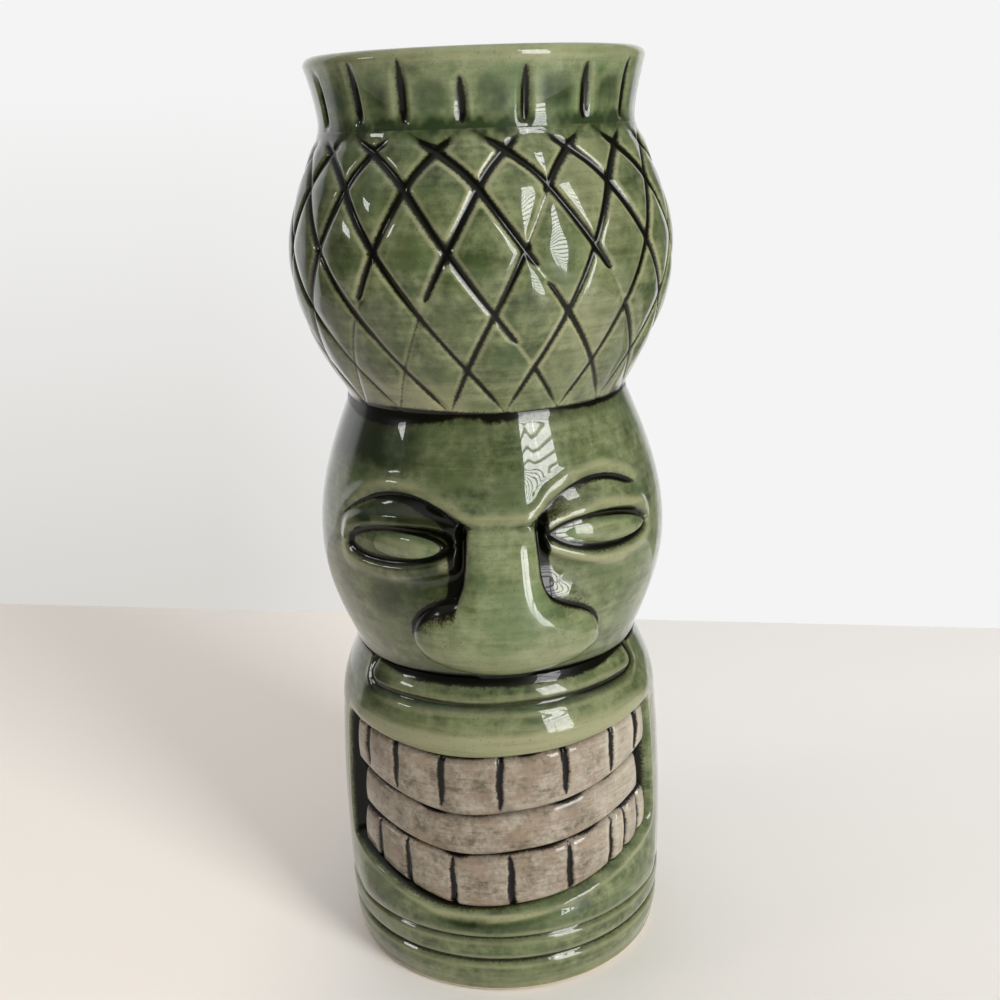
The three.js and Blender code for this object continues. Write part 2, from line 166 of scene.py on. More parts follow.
@dataclass(frozen=True)
class Patch:
    """A stretch round the vase that the hand left thicker or darker."""

    middle: float
    half: float
    amount: float = 1.0

    def at(self, angle: Array) -> Array:
        """Its amount at an angle: all of it in its middle, and none past its ends."""
        return self.amount * hump(angle - self.middle, self.half)


def levels_of(node: str) -> tuple[float, float]:
    """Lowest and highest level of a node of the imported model, in millimetres."""
    low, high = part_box(node)
    return low.z / MM, high.z / MM


@dataclass(frozen=True)
class Silhouette:
    """Outer radii of the tiers and the levels of the creases between them."""

    foot_top: float = levels_of("foot")[1]
    mouth_top: float = levels_of("mouth_tier")[1]
    ledge_top: float = levels_of("lip_ledge")[1]
    head_top: float = levels_of("head")[1]
    crown_top: float = levels_of("crown")[1]
    rim_top: float = levels_of("collar")[1]
    foot: float = 41.6
    barrel: float = 43.2
    barrel_level: float = 36.0
    neck: float = 36.4
    shoulder: float = 18.4
    head: float = 44.3
    head_level: float = 115.0
    waist: float = 34.6
    crown: float = 46.3
    crown_level: float = 184.0
    throat: float = 37.4
    rim: float = 40.8
    flare: float = 1.7
    wall: float = 5.0
    bore: float = 35.6
    crease_fill: float = 0.3
    crease_width: float = 1.1

    def crease(self, height: Array, level: float) -> Array:
        """Millimetres of clay and glaze that round off the crease at a level."""
        return self.crease_fill * np.exp(-((height - level) / self.crease_width) ** 2)

    def swell(self, height: Array, low: Span, widest: Span, high: Span) -> Array:
        """Radius of a tier that swells from one crease to its widest ring and back to the next.

        Args:
            height: Heights of the places.
            low: Radius and level of the lower crease.
            widest: Radius and level of the widest ring.
            high: Radius and level of the upper crease.

        Returns:
            The radii.
        """
        below = height < widest[1]
        end_r = np.where(below, low[0], high[0])
        end_z = np.where(below, low[1], high[1])
        share = np.clip((height - widest[1]) / (end_z - widest[1]), 0, 1)
        swollen = end_r + (widest[0] - end_r) * np.cos(share * np.pi / 2)
        return swollen + self.crease(height, low[1]) + self.crease(height, high[1])

    def of_head(self, height: Array) -> Array:
        """Radius of the head."""
        ends = (self.neck, self.ledge_top), (self.waist, self.head_top)
        return self.swell(height, ends[0], (self.head, self.head_level), ends[1])

    def of_crown(self, height: Array) -> Array:
        """Radius of the crown."""
        ends = (self.waist, self.head_top), (self.throat, self.crown_top)
        return self.swell(height, ends[0], (self.crown, self.crown_level), ends[1])

    def of_barrel(self, height: Array | float) -> Array | float:
        """Radius of the barrel below its round shoulder."""
        share = (height - self.barrel_level) / self.barrel_level
        return self.barrel - (self.barrel - self.foot) * share**2

    def of_body(self, height: Array | float) -> Array:
        """Radius of the foot, the mouth and the ledge, one barrel with a round shoulder.

        Args:
            height: Heights of the places.

        Returns:
            The radii.
        """
        start = self.ledge_top - self.shoulder
        turn = np.clip((height - start) / self.shoulder, 0, 1) * np.pi / 2
        rounded = self.neck + (self.of_barrel(start) - self.neck) * np.cos(turn)
        radius = np.where(height > start, rounded, self.of_barrel(height))
        return radius + self.crease(height, self.ledge_top)

    def of_collar(self, height: Array) -> Array:
        """Radius of the collar.

        Args:
            height: Heights of the places.

        Returns:
            The radii.
        """
        share = np.clip((height - self.crown_top) / (self.rim_top - self.crown_top), 0, 1)
        flared = self.throat + (self.rim - self.throat) * share**self.flare
        return flared + self.crease(height, self.crown_top)


FORM = Silhouette()


@dataclass
class Skin:
    """Places of a mesh round the vase, with the marks that its glaze reads."""

    angle: Array
    radius: Array
    height: Array
    ink: Array | None = None
    thin: Array | None = None
    deep: Array | None = None

    def points(self) -> Array:
        """Places the skin in space.

        Returns:
            Its coordinates in metres, one row for each vertex.
        """
        turn = np.radians(self.angle)
        x, y = self.radius * np.sin(turn), -self.radius * np.cos(turn)
        return np.stack([x, y, self.height], axis=1) * MM


def to_object(mesh_maker: bmesh.types.BMesh, name: str) -> bpy.types.Object:
    """Turns a bmesh into an object of the scene, with faces that point outwards.

    Args:
        mesh_maker: The bmesh, which is freed.
        name: The object's name.

    Returns:
        The object, at the origin.
    """
    bmesh.ops.recalc_face_normals(mesh_maker, faces=mesh_maker.faces)
    mesh = bpy.data.meshes.new(name)
    mesh_maker.to_mesh(mesh)
    mesh_maker.free()
    piece = bpy.data.objects.new(name, mesh)
    bpy.context.scene.collection.objects.link(piece)
    return piece


def grid_of(piece: bpy.types.Object) -> Array:
    """Reads a piece's vertices.

    Args:
        piece: The piece.

    Returns:
        Their coordinates, one row each.
    """
    places = np.empty(len(piece.data.vertices) * 3)
    piece.data.vertices.foreach_get("co", places)
    return places.reshape(-1, 3)


def lay_skin(piece: bpy.types.Object, skin: Skin, short_diagonals: bool = False) -> None:
    """Moves a piece's vertices to their places and writes the glaze's marks on them.

    Args:
        piece: The piece, still in its own grid.
        skin: Where each vertex goes, and its marks.
        short_diagonals: Whether its quads are cut along their shorter diagonals.
    """
    mesh = piece.data
    mesh.vertices.foreach_set("co", skin.points().ravel())
    for mark in MARKS:
        layer = mesh.attributes.new(mark, "FLOAT", "POINT")
        layer.data.foreach_set("value", np.clip(getattr(skin, mark), 0, 1).astype(np.float32))
    if short_diagonals:
        cutter = bmesh.new()
        cutter.from_mesh(mesh)
        bmesh.ops.triangulate(cutter, faces=cutter.faces, quad_method="SHORT_EDGE", ngon_method="BEAUTY")
        cutter.to_mesh(mesh)
        cutter.free()
    mesh.polygons.foreach_set("use_smooth", np.ones(len(mesh.polygons), bool))
    mesh.set_sharp_from_angle(angle=math.radians(SHARP_ANGLE))
    mesh.update()


def wrap_profile(profile: list[Span], columns: int, closed: bool) -> bmesh.types.BMesh:
    """Wraps a flat grid once round the upright axis, with its rows along a profile.

    Args:
        profile: Radius and height of each row.
        columns: Number of columns round the axis.
        closed: Whether the last row joins the first one.

    Returns:
        The wrapped grid; where the profile meets the axis, its columns meet in one place.
    """
    maker = bmesh.new()
    rows = len(profile) if closed else len(profile) - 1
    bmesh.ops.create_grid(maker, x_segments=columns, y_segments=rows, size=1)
    for corner in maker.verts:
        turn = round((corner.co.x + 1) / 2 * columns) % columns / columns * 2 * math.pi
        radius, height = profile[round((corner.co.y + 1) / 2 * rows) % len(profile)]
        corner.co = (radius * math.sin(turn), -radius * math.cos(turn), height)
    bmesh.ops.remove_doubles(maker, verts=maker.verts, dist=SAME_PLACE)
    return maker


@dataclass
class Ring:
    """A ring in its own grid: its skin lies at 2, its inner wall at 1, and its lip between."""

    name: str
    columns: int
    rows: int
    inner_rows: int = 10
    lip_rows: int = 1

    def make(self) -> tuple[bpy.types.Object, Array, Array, Array]:
        """Wraps the grid and reads it back.

        Returns:
            The ring's object, and each vertex's angle in degrees, its share of the height, and its
            place through the wall.
        """
        outer = [(2.0, row / self.rows) for row in range(self.rows + 1)]
        lip = [(2 - step / self.lip_rows, 1.0) for step in range(1, self.lip_rows)]
        inner = [(1.0, row / self.inner_rows) for row in range(self.inner_rows, -1, -1)]
        piece = to_object(wrap_profile(outer + lip + inner, self.columns, closed=True), self.name)
        places = grid_of(piece)
        angle = np.degrees(np.arctan2(places[:, 0], -places[:, 1]))
        return piece, angle, places[:, 2], np.hypot(places[:, 0], places[:, 1])


@dataclass
class Piece:
    """A piece of the vase, with the nodes that it stands for and its finish."""

    name: str
    nodes: tuple[str, ...]
    slot: str

    def build(self) -> bpy.types.Object:
        """Makes the piece's mesh."""
        raise NotImplementedError

    def dress(self, piece: bpy.types.Object, finish: bpy.types.Material) -> None:
        """Gives a piece its finish and its place in the frame.

        Args:
            piece: The built piece.
            finish: The material of all its faces.
        """
        piece.data.materials.append(finish)
        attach(piece, "root")
        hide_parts(*self.nodes)
        LOG.info("%s: %d faces for %s", piece.name, len(piece.data.polygons), ", ".join(self.nodes))


class Slant(Enum):
    """The two families of grooves in the crown, as they lie seen from the front."""

    FALLING = 1
    RISING = -1


@dataclass(frozen=True)
class Cut:
    """A stretch of one groove where the tool was lifted, between two rows of crossings."""

    slant: Slant
    line: int
    low: float
    high: float
    left: float = 0.0


@dataclass
class Crown(Piece):
    """The bulging ring with hand-cut grooves that cross in rows."""

    name: str = "crown_glazed"
    nodes: tuple[str, ...] = ("crown",)
    slot: str = "green_glaze"
    count: int = 17
    rows: int = 6
    steps: int = 26
    lean: float = 0.14
    phase: float = -0.1
    twist: float = -1.75
    twist_middle: float = 3.4
    top_drop: float = 1.3
    crowding: float = 0.5
    depth: float = 0.75
    bank: float = 1.1
    widening: Span = (0.6, 4.2)
    wander: float = 0.55
    width_wander: float = 0.16
    full_depth_half: float = 0.75
    least_depth: float = 0.45
    end_strengths: Span = (0.15, 0.45)
    cut_softness: float = 0.05
    groove_blend: float = 0.25
    cell_blend: float = 1.6
    edge_blend: float = 0.9
    pillow: float = 0.5
    pillow_reach: float = 5.0
    pool: Patch = Patch(-48, 40, 0.5)
    smear: Patch = Patch(-14, 26, 0.42)
    pale: Patch = Patch(32, 26)
    # Painted shade: darkens the crown's left side, away from the window.
    dark: Patch = Patch(-90, 62, 0.65)
    half_widths: dict[Slant, Span] = field(
        default_factory=lambda: {Slant.FALLING: (0.4, 0.92), Slant.RISING: (0.36, 0.76)}
    )
    cuts: tuple[Cut, ...] = (
        Cut(Slant.FALLING, 1, 1.0, 1.5),
        Cut(Slant.FALLING, 2, 2.5, 2.75),
        Cut(Slant.FALLING, 3, 2.0, 2.6),
        Cut(Slant.FALLING, 9, 1.2, 1.9),
        Cut(Slant.RISING, -1, 3.1, 3.9, 0.4),
        Cut(Slant.RISING, -2, 2.0, 2.25),
        Cut(Slant.RISING, -2, 0.3, 2.0, 0.55),
        Cut(Slant.RISING, -3, 1.9, 2.25),
        Cut(Slant.RISING, -3, 0.3, 1.9, 0.6),
        Cut(Slant.RISING, 5, 1.4, 2.1),
    )

    def level(self, row: Array) -> Array:
        """Height of a row of crossings, closer together towards the top.

        Args:
            row: Places counted in rows.

        Returns:
            Their heights.
        """
        share = row / self.rows
        eased = share + self.lean * np.sin(np.pi * share * share)
        return FORM.head_top + (FORM.crown_top - FORM.head_top) * eased - self.top_drop * hump(row - 5, 1.0)

    def crowd(self, value: Array) -> Array:
        """Draws the grid's lines together at the grooves."""
        return value - self.crowding * np.sin(2 * np.pi * value) / (2 * np.pi)

    def strength(self, slant: Slant, line: Array, row: Array, height: Array) -> Array:
        """How much of a groove is left at a place, from 0 to 1.

        Args:
            slant: The groove's family.
            line: The groove's number in its family.
            row: The place, counted in rows of crossings.
            height: The place's height.

        Returns:
            The strengths.
        """
        top, low = self.end_strengths
        left = top + (1 - top) * smooth(height, FORM.crown_top - 0.4, FORM.crown_top - 3.6)
        left = left * (low + (1 - low) * smooth(height, FORM.head_top + 0.5, FORM.head_top + 5))
        soft = self.cut_softness
        for cut in self.cuts:
            if cut.slant is not slant:
                continue
            same = (line - cut.line) % self.count == 0
            inside = smooth(row, cut.low - soft, cut.low + soft)
            inside = inside * smooth(row, cut.high + soft, cut.high - soft)
            left = np.where(same, left * (1 - (1 - cut.left) * inside), left)
        return left

    def build(self) -> bpy.types.Object:
        """Wraps the ring, shears its grid to the grooves and cuts them.

        Returns:
            The crown.
        """
        piece, angle, share, through = Ring(self.name, self.count * self.steps, self.rows * self.steps).make()
        column = np.round(angle / 360 * self.count * self.steps)
        step = np.round(share * self.rows * self.steps)
        outside = through > WALL_MIDDLE
        along = (column + (step % 2) / 2) / self.steps
        rising = self.crowd(along - step / self.steps / 2)
        falling = self.crowd(along + step / self.steps / 2)
        row = falling - rising
        pitch = 360 / self.count
        height = np.where(outside, self.level(row), FORM.head_top + share * (FORM.crown_top - FORM.head_top))
        turned = (self.phase + (rising + falling) / 2) * pitch + self.twist * (row - self.twist_middle)
        turned += self.wander * unevenness(turned, height, seed=5, pitch=60)
        angle = np.where(outside, turned, column / self.steps * pitch)
        radius = FORM.of_crown(height)
        edge, relief = self.grooves(rising, falling, row, height, angle, radius)
        skin = Skin(angle, np.where(outside, radius + relief, radius - FORM.wall), height)
        self.mark(skin, edge, outside)
        lay_skin(piece, skin, short_diagonals=True)
        return piece

    def grooves(
        self, rising: Array, falling: Array, row: Array, height: Array, angle: Array, radius: Array
    ) -> tuple[Array, Array]:
        """Cuts both families of grooves and swells the cells between them.

        Args:
            rising: Each place's count among the rising grooves.
            falling: Its count among the falling ones.
            row: Its count of rows.
            height: Its height.
            angle: Its angle.
            radius: The uncut radius there.

        Returns:
            Distance outside the nearest groove's dark edge, and the relief, both in millimetres.
        """
        width = np.radians(360 / self.count) * radius
        tall = (self.level(row + 0.5) - self.level(row - 0.5)).clip(4, 20)
        spacing = width * tall / np.hypot(width / 2, tall)
        edges, banks, cuts = [], [], []
        for slant, value in ((Slant.RISING, rising), (Slant.FALLING, falling)):
            line = np.round(value)
            away = np.abs(value - line) * spacing
            low, top = self.half_widths[slant]
            left = self.strength(slant, line, row, height)
            full = low + (top - low) * smooth(row, *self.widening)
            full = full * (1 + self.width_wander * unevenness(angle, height, seed=11 + slant.value, pitch=17))
            edges.append(away - full * left + 0.6 * (1 - left))
            kept = self.least_depth + (1 - self.least_depth) * left
            kept = kept * np.clip(full / self.full_depth_half, 0, 1.1)
            cuts.append(-self.depth * kept * hump(away, full + self.bank))
            banks.append(away)
        up, down = height - FORM.head_top, FORM.crown_top - height
        cell = smooth(blended_min(*banks, self.cell_blend), 0, self.pillow_reach)
        cell = cell * smooth(down, 0.5, 4) * smooth(up, 0, 8)
        relief = blended_min(*cuts, self.groove_blend) * smooth(down, 1.0, 4.6)
        return blended_min(*edges, self.edge_blend), relief + self.pillow * cell

    def mark(self, skin: Skin, edge: Array, outside: Array) -> None:
        """Marks where the crown's glaze pools and where it runs thin, and paints shade on its left side.

        Args:
            skin: The crown's skin, which gets the marks.
            edge: Distance outside the nearest groove's dark edge.
            outside: Which places lie on its outer side.
        """
        up, down = skin.height - FORM.head_top, FORM.crown_top - skin.height
        uneven = unevenness(skin.angle, skin.height, seed=21, pitch=30)
        pool = up - 0.5 - 0.35 * uneven - self.pool.at(skin.angle)
        smear = np.exp(-up / 2.2) * self.smear.at(skin.angle)
        skin.ink = np.where(outside, np.maximum.reduce([ink_within(edge), ink_within(pool), smear]), 0)
        halo = (0.55 + 0.2 * uneven) * hump(edge - 0.6, 1.1)
        low = smooth(up, 16, 4) * (0.5 + 0.3 * uneven)
        low = np.maximum(low, self.pale.at(skin.angle) * (0.38 + 0.2 * uneven))
        skin.thin = np.where(outside, np.maximum(halo, low) * smooth(down, 1.5, 4), 0.2)
        # The dark patch added here is painted shade on the left side, away from the window.
        near = 0.3 * np.exp(-np.maximum(edge, 0) / 0.5) + self.dark.at(skin.angle)
        brushed = roughness(skin.angle, skin.height, seed=23)
        throat = (0.5 + 0.25 * brushed) * smooth(down - 0.4 * brushed, 4.0, 0.2)
        skin.deep = np.where(outside, throat + near + 0.35 * smooth(edge, 1.5, 4.5), 0.3)


@dataclass
class Collar(Piece):
    """The flared ring on top, with a row of tapered strokes."""

    name: str = "collar_glazed"
    nodes: tuple[str, ...] = ("collar",)
    slot: str = "pale_green_glaze"
    count: int = 17
    front_strokes: tuple[Span, ...] = (
        (-45.2, 14.2), (-26.8, 14.2), (-7.1, 10.4), (13.6, 12.3), (35.9, 12.7), (57.8, 13.4),
    )
    usual_top: float = 12.4
    rim_thickness: float = 4.2
    half_width: float = 0.95
    depth: float = 0.9
    low: float = 0.9
    lip_rows: int = 10
    lean_middle: float = 6.0
    leans: Span = (-0.07, 0.07)
    low_shifts: Span = (-0.3, 0.5)
    point_shares: Span = (0.2, 1 / 2.6)
    widths: Span = (0.85, 1.1)
    bank: float = 2.2

    def strokes(self) -> list[Span]:
        """Spreads the strokes round the collar: those on the front as listed, and the rest evenly.

        Returns:
            Angle and top of each stroke.
        """
        rest = self.count - len(self.front_strokes)
        first, last = self.front_strokes[0][0] + 360, self.front_strokes[-1][0]
        spread = [(last + (first - last) * (i + 1) / (rest + 1), self.usual_top) for i in range(rest)]
        return [*self.front_strokes, *spread]

    def build(self) -> bpy.types.Object:
        """Wraps the ring with its rounded lip and presses the strokes.

        Returns:
            The collar.
        """
        ring = Ring(self.name, columns=560, rows=40, inner_rows=12, lip_rows=self.lip_rows)
        piece, angle, share, through = ring.make()
        bottom, lip_radius = FORM.crown_top, self.rim_thickness / 2
        lip_level = FORM.rim_top - lip_radius
        height = bottom + share * (lip_level - bottom)
        outer = FORM.of_collar(height)
        thickness = FORM.wall + (self.rim_thickness - FORM.wall) * share
        turn = (2 - through) * np.pi
        on_skin, on_bore = through > 1 + WHOLE, through < 2 - WHOLE
        on_lip = (share > WHOLE) & ~on_skin & ~on_bore
        radius = np.where(through > WALL_MIDDLE, outer, outer - thickness)
        radius = np.where(on_lip, outer - lip_radius * (1 - np.cos(turn)), radius)
        height = np.where(on_lip, lip_level + lip_radius * np.sin(turn), height)
        skin = Skin(angle, radius, height)
        edge = self.press(skin, on_skin)
        self.mark(skin, edge, through)
        lay_skin(piece, skin)
        return piece

    def press(self, skin: Skin, outside: Array) -> Array:
        """Presses the strokes into the skin.

        Args:
            skin: The collar's skin, which is moved.
            outside: Which places lie on its outer side.

        Returns:
            Distance outside the nearest stroke's dark edge, in millimetres.
        """
        edge = np.full(skin.angle.shape, FAR)
        relief = np.zeros_like(skin.angle)
        random = np.random.default_rng(8)
        up = skin.height - FORM.crown_top
        for middle, top in self.strokes():
            lean, low = random.uniform(*self.leans), self.low + random.uniform(*self.low_shifts)
            share = np.clip((up - low) / (top - low), 0, 1)
            away = (skin.angle - middle + 180) % 360 - 180
            away = np.abs(np.radians(away) * skin.radius - lean * (up - self.lean_middle))
            foot, point = self.point_shares
            taper = np.sqrt(np.clip(share / foot, 0, 1)) * np.sqrt(np.clip((1 - share) / point, 0, 1))
            half = self.half_width * random.uniform(*self.widths) * taper
            ends = 1.2 * np.maximum(np.maximum(low - up, up - top), 0)
            edge = np.minimum(edge, away - half + ends)
            pressed = self.depth * (0.2 + 0.8 * taper) * hump(away, self.bank) * hump(ends, 2)
            relief = np.minimum(relief, -pressed)
        skin.radius += np.where(outside, relief, 0)
        return np.where(outside, edge, FAR)

    def mark(self, skin: Skin, edge: Array, through: Array) -> None:
        """Marks the strokes' ink, the green pool at the foot and the thin rim.

        Args:
            skin: The collar's skin, which gets the marks.
            edge: Distance outside the nearest stroke's dark edge.
            through: Each vertex's place through the wall.
        """
        up = skin.height - FORM.crown_top
        outside = through > WALL_MIDDLE
        lip = hump(through - WALL_MIDDLE, 0.12) * (up > 5)
        skin.ink = np.maximum(ink_within(edge), 0.45 * lip)
        halo = hump(edge - 1.3, 1.3) * (0.7 + 0.5 * unevenness(skin.angle * 3, skin.height, seed=9))
        skin.thin = np.maximum(0.45 * halo, np.where(outside, 0.5 * smooth(up, 10.5, 14.5), 0.25))
        near = 0.55 * np.exp(-np.maximum(edge, 0) / 0.8)
        patch = 0.8 * hump(up - 6.5, 7.5) * smooth(edge, 0.4, 4.5)
        brushed = roughness(skin.angle, skin.height, seed=23)
        throat = (0.85 + 0.25 * brushed) * smooth(up - 0.4 * brushed, 3.8, 0.2)
        skin.deep = np.where(outside, throat + np.maximum(patch, near), 0.35)


@dataclass
class Face:
    """Lines of the face that the head, the nose and the eyes share, in degrees and millimetres."""

    scale: float = 0.785
    brow_top: float = 133.5
    brow_middle: float = 34.5
    brow_fall: float = 0.01304
    brow_lift: float = 1.8
    lift_range: Span = (7.0, 17.0)
    bridge: float = 12.0
    bridge_blend: float = 6.0
    bridge_soft: float = 3.0
    eye_middle: float = 35.0
    eye_half_angle: float = 17.9
    eye_level: float = 121.2
    eye_lift: float = 1.1
    eye_half_height: float = 3.2
    eye_tilt: float = 1.0
    eye_fullness: float = 2.3
    nose_centre: float = 101.0
    nose_outline: tuple[Span, ...] = (
        (0, 127.0), (7.5, 127.1), (11.2, 125.6), (11.9, 120.8), (12.7, 113.8), (14.8, 109.3),
        (19.8, 106.8), (26.6, 104.6), (31.6, 101.8), (34.2, 97.6), (33.2, 93.4), (27, 90.3), (16, 88.7),
        (4, 88.0), (-7, 88.4), (-18, 89.6), (-26.6, 91.8), (-30.8, 96.2), (-31.0, 100.8),
        (-27.6, 105.0), (-21.5, 107.9), (-15.4, 109.7), (-12.7, 113.8), (-11.8, 120.8),
        (-11.2, 125.6), (-7.5, 127.1),
    )

    def under_brow(self, angle: Array) -> Array:
        """Finds the dark line below the brow.

        Args:
            angle: Angles of the places.

        Returns:
            The line's heights there.
        """
        side = -blended_min(-np.abs(angle), np.full_like(angle, -self.bridge), self.bridge_blend)
        curve = self.brow_top - self.brow_fall * (side - self.brow_middle) ** 2
        return curve + self.brow_lift * smooth(angle, *self.lift_range)

    def below_brow(self, angle: Array, height: Array) -> Array:
        """Measures how far places lie below that line, square to it.

        Args:
            angle: Angles of the places.
            height: Their heights.

        Returns:
            The distances; they are negative above the line.
        """
        slope = 2 * self.brow_fall * (np.abs(angle) - self.brow_middle) / self.scale
        slope = slope * smooth(np.abs(angle), self.bridge - self.bridge_soft, self.bridge + self.bridge_soft)
        return (self.under_brow(angle) - height) / np.hypot(1, slope)

    def nose_loop(self, per: int) -> Array:
        """The nose's outline as a dense loop, across the face and upwards in millimetres."""
        return rounded_loop([(angle * self.scale, level) for angle, level in self.nose_outline], per)

    def nose_reach(self, loop: Array, bearing: Array) -> Array:
        """Measures how far the nose's outline lies from its centre.

        Args:
            loop: The outline.
            bearing: Directions from the centre, in radians.

        Returns:
            The distances in those directions.
        """
        across, up = loop[:, 0], loop[:, 1] - self.nose_centre
        bearings = np.arctan2(up, across)
        order = np.argsort(bearings)
        return np.interp(bearing, bearings[order], np.hypot(across, up)[order], period=2 * np.pi)

    def from_nose(self, angle: Array, height: Array) -> Array:
        """Measures how far places lie outside the nose's outline.

        Args:
            angle: Angles of the places.
            height: Their heights.

        Returns:
            The distances; they are negative inside.
        """
        loop = self.nose_loop(per=6)
        across, up = angle * self.scale, height - self.nose_centre
        gap = distance_to(loop, across, height)
        inside = np.hypot(across, up) < self.nose_reach(loop, np.arctan2(up, across))
        return np.where(inside, -gap, gap)

    def eye_line(self, angle: Array) -> Array:
        """Height of an eye's middle line; the right eye lies higher."""
        along = (np.abs(angle) - self.eye_middle) / self.eye_half_angle
        return self.eye_level + np.where(angle > 0, self.eye_lift, 0) - self.eye_tilt * along

    def eye_point(self, angle: Array) -> Array:
        """How pointed an eye's outline is at an angle: the right eye is, towards the nose."""
        return 0.58 + 0.34 * smooth(angle, 0.1, 0.2) * smooth(angle, self.eye_middle, self.eye_middle - 9)

    def from_eye(self, angle: Array, height: Array) -> tuple[Array, Array]:
        """Distance outside the nearer eye's outline, and the height over its middle line.

        Args:
            angle: Angles of the places.
            height: Their heights.

        Returns:
            The distances, negative inside, and the heights.
        """
        along = np.abs(np.abs(angle) - self.eye_middle) / self.eye_half_angle
        over = height - self.eye_line(angle)
        up = np.abs(over) / self.eye_half_height
        power = 1 / self.eye_point(angle)
        value = along**self.eye_fullness + up**power - 1
        across = self.eye_fullness * along ** (self.eye_fullness - 1) / (self.eye_half_angle * self.scale)
        upright = power * up ** (power - 1) / self.eye_half_height
        return value / np.maximum(np.hypot(across, upright), 0.12), over


FACE = Face()


@dataclass
class Head(Piece):
    """The bulging ring with the brow and the eye sockets worked into it."""

    name: str = "head_glazed"
    nodes: tuple[str, ...] = ("head", "brow")
    slot: str = "green_glaze"
    columns: int = 520
    rows: int = 152
    crowding: float = 0.42
    socket_depth: float = 2.7
    socket_reach: float = 13.0
    socket_end: Span = (62.0, 44.0)
    brow_edge: Span = (-0.7, 0.8)
    basin_depth: float = 3.6
    basin_reach: Span = (21.0, 2.0)
    basin_rise: Span = (103.0, 117.0)
    floor_blend: float = 0.8
    bridge_edge: Span = (8.0, 12.5)
    face_fade: Span = (79.0, 66.0)
    brow_ridge: float = 0.65
    ridge_place: Span = (-2.1, 2.9)
    ridge_end: Span = (66.0, 50.0)
    glabella: float = 1.5
    glabella_end: Span = (20.0, 7.0)
    glabella_top: Span = (139.0, 129.0)
    glabella_foot: Span = (124.3, 128.3)
    swell_from: float = 123.5
    lid_ridge: float = 0.45
    lower_lid_drop: float = 0.75
    eye_bed: float = -1.45
    face_end: float = 80.0
    top_pools: tuple[Patch, ...] = (Patch(-50, 44, 2.9), Patch(42, 26, 0.8), Patch(3, 12, 1.3))
    dry_stretch: Patch = Patch(-8, 34, 0.4)
    thin_edge: Patch = Patch(-2, 40, 0.5)
    left_smear: Patch = Patch(-50, 44)

    def build(self) -> bpy.types.Object:
        """Wraps the ring, crowds its grid to the front and works the face.

        Returns:
            The head.
        """
        piece, angle, share, through = Ring(self.name, self.columns, self.rows, inner_rows=12).make()
        outside = through > WALL_MIDDLE
        angle = crowded(angle, self.crowding)
        height = FORM.ledge_top + share * (FORM.head_top - FORM.ledge_top)
        radius = FORM.of_head(height)
        front = outside & (np.abs(angle) < self.face_end)
        relief, ink, deep, thin = (np.zeros_like(angle) for _ in range(4))
        relief[front], ink[front], deep[front], thin[front] = self.work(angle[front], height[front])
        skin = Skin(angle, np.where(outside, radius + relief, radius - FORM.wall), height)
        self.mark(skin, outside, ink, deep, thin)
        lay_skin(piece, skin)
        return piece

    def work(self, angle: Array, height: Array) -> tuple[Array, Array, Array, Array]:
        """Works the sockets, brow and lids into the front of the head.

        Args:
            angle: Angles of the places.
            height: Their heights.

        Returns:
            The relief in millimetres, and the marks for ink, deep glaze with painted shade, and thin glaze.
        """
        side = np.abs(angle)
        below = FACE.below_brow(angle, height)
        off_nose = FACE.from_nose(angle, height)
        off_eye, over_eye = FACE.from_eye(angle, height)
        spread = smooth(side, *self.socket_end)
        edge = smooth(below, *self.brow_edge)
        drop = edge * np.exp(-np.maximum(below, 0) / self.socket_reach)
        socket = self.socket_depth * spread * (0.4 + 0.6 * smooth(side, 50, 15)) * drop
        basin = self.basin_depth * smooth(off_nose, *self.basin_reach) * edge
        basin = basin * (0.15 + 0.85 * smooth(height, *self.basin_rise))
        floor = blended_min(-socket, -basin, self.floor_blend)
        floor = floor * smooth(side, *self.bridge_edge) * smooth(side, *self.face_fade)
        ridge_middle, ridge_half = self.ridge_place
        ridge = self.brow_ridge * hump(below - ridge_middle, ridge_half) * smooth(side, *self.ridge_end)
        swell = self.glabella * smooth(side, *self.glabella_end)
        swell = swell * smooth(height, *self.glabella_top) * smooth(height, *self.glabella_foot)
        lids = np.where(over_eye > 0, self.lid_ridge, self.lid_ridge - self.lower_lid_drop)
        lid = self.eye_bed + (lids - self.eye_bed) * smooth(off_eye, 0.6, 2.1)
        lid = lid - (lids + 0.9) * smooth(off_eye, 2.8, 5.2)
        lid = lid - 1.1 * smooth(side, 30, 17) + 0.4 * smooth(side, 40, 52)
        near = smooth(off_eye, 5.4, 3.0) * smooth(side, 60, 54) * smooth(off_nose, 0.4, 2.6)
        relief = floor * (1 - near) + np.maximum(lid, floor - 0.8) * near + ridge
        relief = np.where(height > self.swell_from, relief + swell, relief)
        ink = self.ink_of(angle, height, below, off_nose, off_eye, over_eye)
        left = angle < 0
        # Glaze pools in the sockets under the brow and on the lower cheeks; both are painted much darker on
        # the left, away from the window, as painted shade.
        socket_pool_and_shade = np.where(left, 0.95, 0.15) * spread * smooth(below, 0.5, 2) * smooth(below, 11, 5)
        cheek_pool_and_shade = np.where(left, 0.75, 0.25) * smooth(below, 8, 14)
        cheek_pool_and_shade = cheek_pool_and_shade * smooth(height, 98, 106) * smooth(side, 56, 36)
        deep = np.maximum.reduce([socket_pool_and_shade, cheek_pool_and_shade, 0.7 * hump(off_eye - 0.5, 2.2)])
        thin = np.maximum(0.6 * hump(below + 2.1, 2.6) * smooth(side, 66, 46), 0.7 * hump(off_eye - 2.7, 1.7))
        strip = 0.9 * hump(off_eye - 3.0, 2.0) * (over_eye < 0) * smooth(side, 50, 40)
        return relief, ink, deep, np.maximum(thin, strip)

